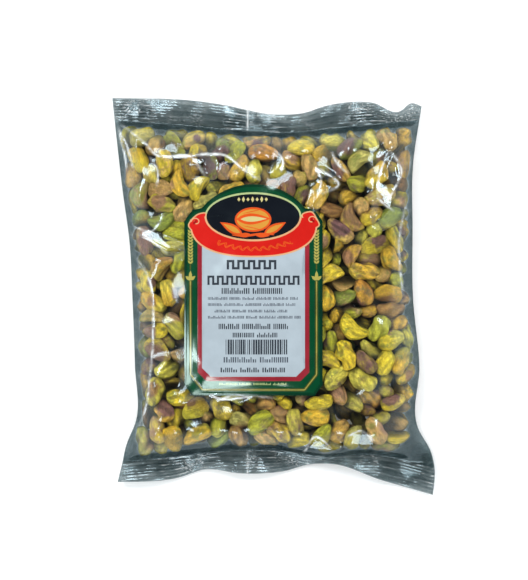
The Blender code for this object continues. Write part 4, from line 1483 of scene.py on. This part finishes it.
def make_label(rng, film):
    """The printed sheet on the front of the film: one closed sheet, each face in its uppermost ink."""
    outline = label_outline()
    art = label_art(rng)
    spots, edges = [], []
    for shape in [outline] + [shape for _, shape in art]:
        first = len(spots)
        spots += [Vector(p) for p in shape]
        edges += [(first + k, first + (k + 1) % len(shape)) for k in range(len(shape))]
    columns, rows = (np.arange(*span, LABEL_MESH) for span in (LABEL_GRID_X, LABEL_GRID_Y))
    x, y = np.meshgrid(columns, rows, indexing="ij")
    kept = inside(grown(outline, -EDGE_MARGIN), x, y)
    spots += [Vector(p) for p in zip(x[kept], y[kept])]
    made = geometry.delaunay_2d_cdt(spots, edges, [], 0, 1e-5)
    places = np.array([v[:] for v in made[0]])
    faces = np.array([f[:] for f in made[2]])
    middle = places[faces].mean(axis=1)
    faces = faces[inside(outline, middle[:, 0], middle[:, 1])]
    middle = places[faces].mean(axis=1)
    names = ["edge"] + list(INKS)
    ink = np.full(len(faces), names.index("dark_green"))
    for name, shape in art:
        ink[inside(shape, middle[:, 0], middle[:, 1])] = names.index(name)

    used, faces = np.unique(faces, return_inverse=True)
    faces = faces.reshape(-1, 3)
    places = places[used]
    height = film.label.at(places[:, 0], places[:, 1]) + LABEL_LIFT
    under = np.column_stack([places, height])
    upper = np.column_stack([places, height + LABEL_THICKNESS])
    sides = {}
    for a, b, c in faces:
        for start, end in ((a, b), (b, c), (c, a)):
            sides[(start, end)] = (end, start)
    rim = np.array([pair for pair, back in sides.items() if back not in sides])
    count = len(places)
    start, end = rim.T
    walls = [np.column_stack([start, end + count, end]), np.column_stack([start, start + count, end + count])]
    walls = np.concatenate(walls)
    all_faces = np.concatenate([faces, faces[:, ::-1] + count, walls])
    kinds = np.concatenate([ink, np.zeros(len(faces) + len(walls), int)])
    paper = ink_material("edge", *PAPER)
    materials = [paper] + [ink_material(name, *look) for name, look in INKS.items()]
    piece = mesh_piece("label_sheet", np.vstack([upper, under]), all_faces, materials, face_materials=kinds)
    slope_x, slope_y = (HeightMap(g) for g in np.gradient(film.label.values, HeightMap.pitch))
    upwards = np.column_stack([-slope_x.at(*places.T), -slope_y.at(*places.T), np.ones(count)])
    upwards /= np.linalg.norm(upwards, axis=1, keepdims=True)
    piece.data.normals_split_custom_set_from_vertices(np.vstack([upwards, -upwards]).tolist())
    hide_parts("front_label")


# ---------------------------------------------------------------- the bag, put together

rng = np.random.default_rng(PACKING_SEED)
kernel_pieces, kernel_points, kernel_faces = make_kernels(rng, kernel_material())
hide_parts("pistachio_kernels")
film = Film(rng, kernel_points, kernel_faces)
back_material = film_material("clear_film_back", True)
make_film(rng, film, [film_material("clear_film_front", False), back_material])
make_lap_seam(back_material)

make_label(rng, film)
paint_heap_shade(kernel_pieces, film)

# ---------------------------------------------------------------- the studio: lamps, sky, floor and camera

# Turn: power and size.
LAMPS = {45: (4.1, 0.29), 90: (2.6, 0.28), 135: (5.2, 0.32), 180: (2.4, 0.26), 270: (2.1, 0.26)}
SKY_COLOUR, FLOOR_COLOUR, WHITE = (0.94, 0.98, 1, 1), (0.95, 0.95, 0.95, 1), (1, 1, 1, 1)
FLOOR_REACH = 3


def softbox(turn, power, size):
    """A square lamp that looks at the bag from above, at a turn about +Z in degrees."""
    name = f"box_{turn}"
    light = bpy.data.lights.new(name, "AREA")
    light.shape = "SQUARE"
    light.size = size
    light.energy = power
    lamp = bpy.data.objects.new(name, light)
    bpy.context.scene.collection.objects.link(lamp)
    place = Vector(lamp_place(turn))
    lamp.location = place
    lamp.rotation_euler = (-place).to_track_quat("-Z", "Y").to_euler()


def studio_sky():
    """A soft sky that is bright low down and dim overhead, where it would glare in the film."""
    world = bpy.data.worlds.new("studio")
    bpy.context.scene.world = world
    world.use_nodes = True
    tree = world.node_tree
    direction, split, rise = (
        tree.nodes.new("ShaderNode" + kind) for kind in ("TexCoord", "SeparateXYZ", "MapRange")
    )
    rise.interpolation_type = "SMOOTHSTEP"
    for name, value in {"From Min": 0.55, "From Max": 0.97, "To Min": 1.2, "To Max": 0.06}.items():
        rise.inputs[name].default_value = value
    background = tree.nodes["Background"]
    tree.links.new(direction.outputs["Generated"], split.inputs[0])
    tree.links.new(split.outputs["Z"], rise.inputs["Value"])
    tree.links.new(rise.outputs[0], background.inputs[1])
    background.inputs[0].default_value = SKY_COLOUR


for turn, lamp_look in LAMPS.items():
    softbox(turn, *lamp_look)
studio_sky()

floor_mesh = bpy.data.meshes.new("floor")
floor_corners = bar(-FLOOR_REACH, -FLOOR_REACH, FLOOR_REACH, FLOOR_REACH)
floor_mesh.from_pydata([(x, y, 0) for x, y in floor_corners], [], [(0, 1, 2, 3)])
floor = bpy.data.objects.new("floor", floor_mesh)
bpy.context.scene.collection.objects.link(floor)
n = Nodes("floor")
pale = {"Base_Color": FLOOR_COLOUR, "Emission_Color": WHITE, "Emission_Strength": 0.1}
floor_mesh.materials.append(n.surface(n.add("BsdfPrincipled", Roughness=0.9, **pale)))

camera_data = bpy.data.cameras.new("camera")
camera = bpy.data.objects.new("camera", camera_data)
bpy.context.scene.collection.objects.link(camera)
camera_data.lens = LENS
camera_data.sensor_fit = "VERTICAL"
camera_data.sensor_height = SENSOR
camera.location = CAMERA_PLACE
bpy.context.scene.camera = camera
bpy.context.scene.view_settings.view_transform = "Standard"
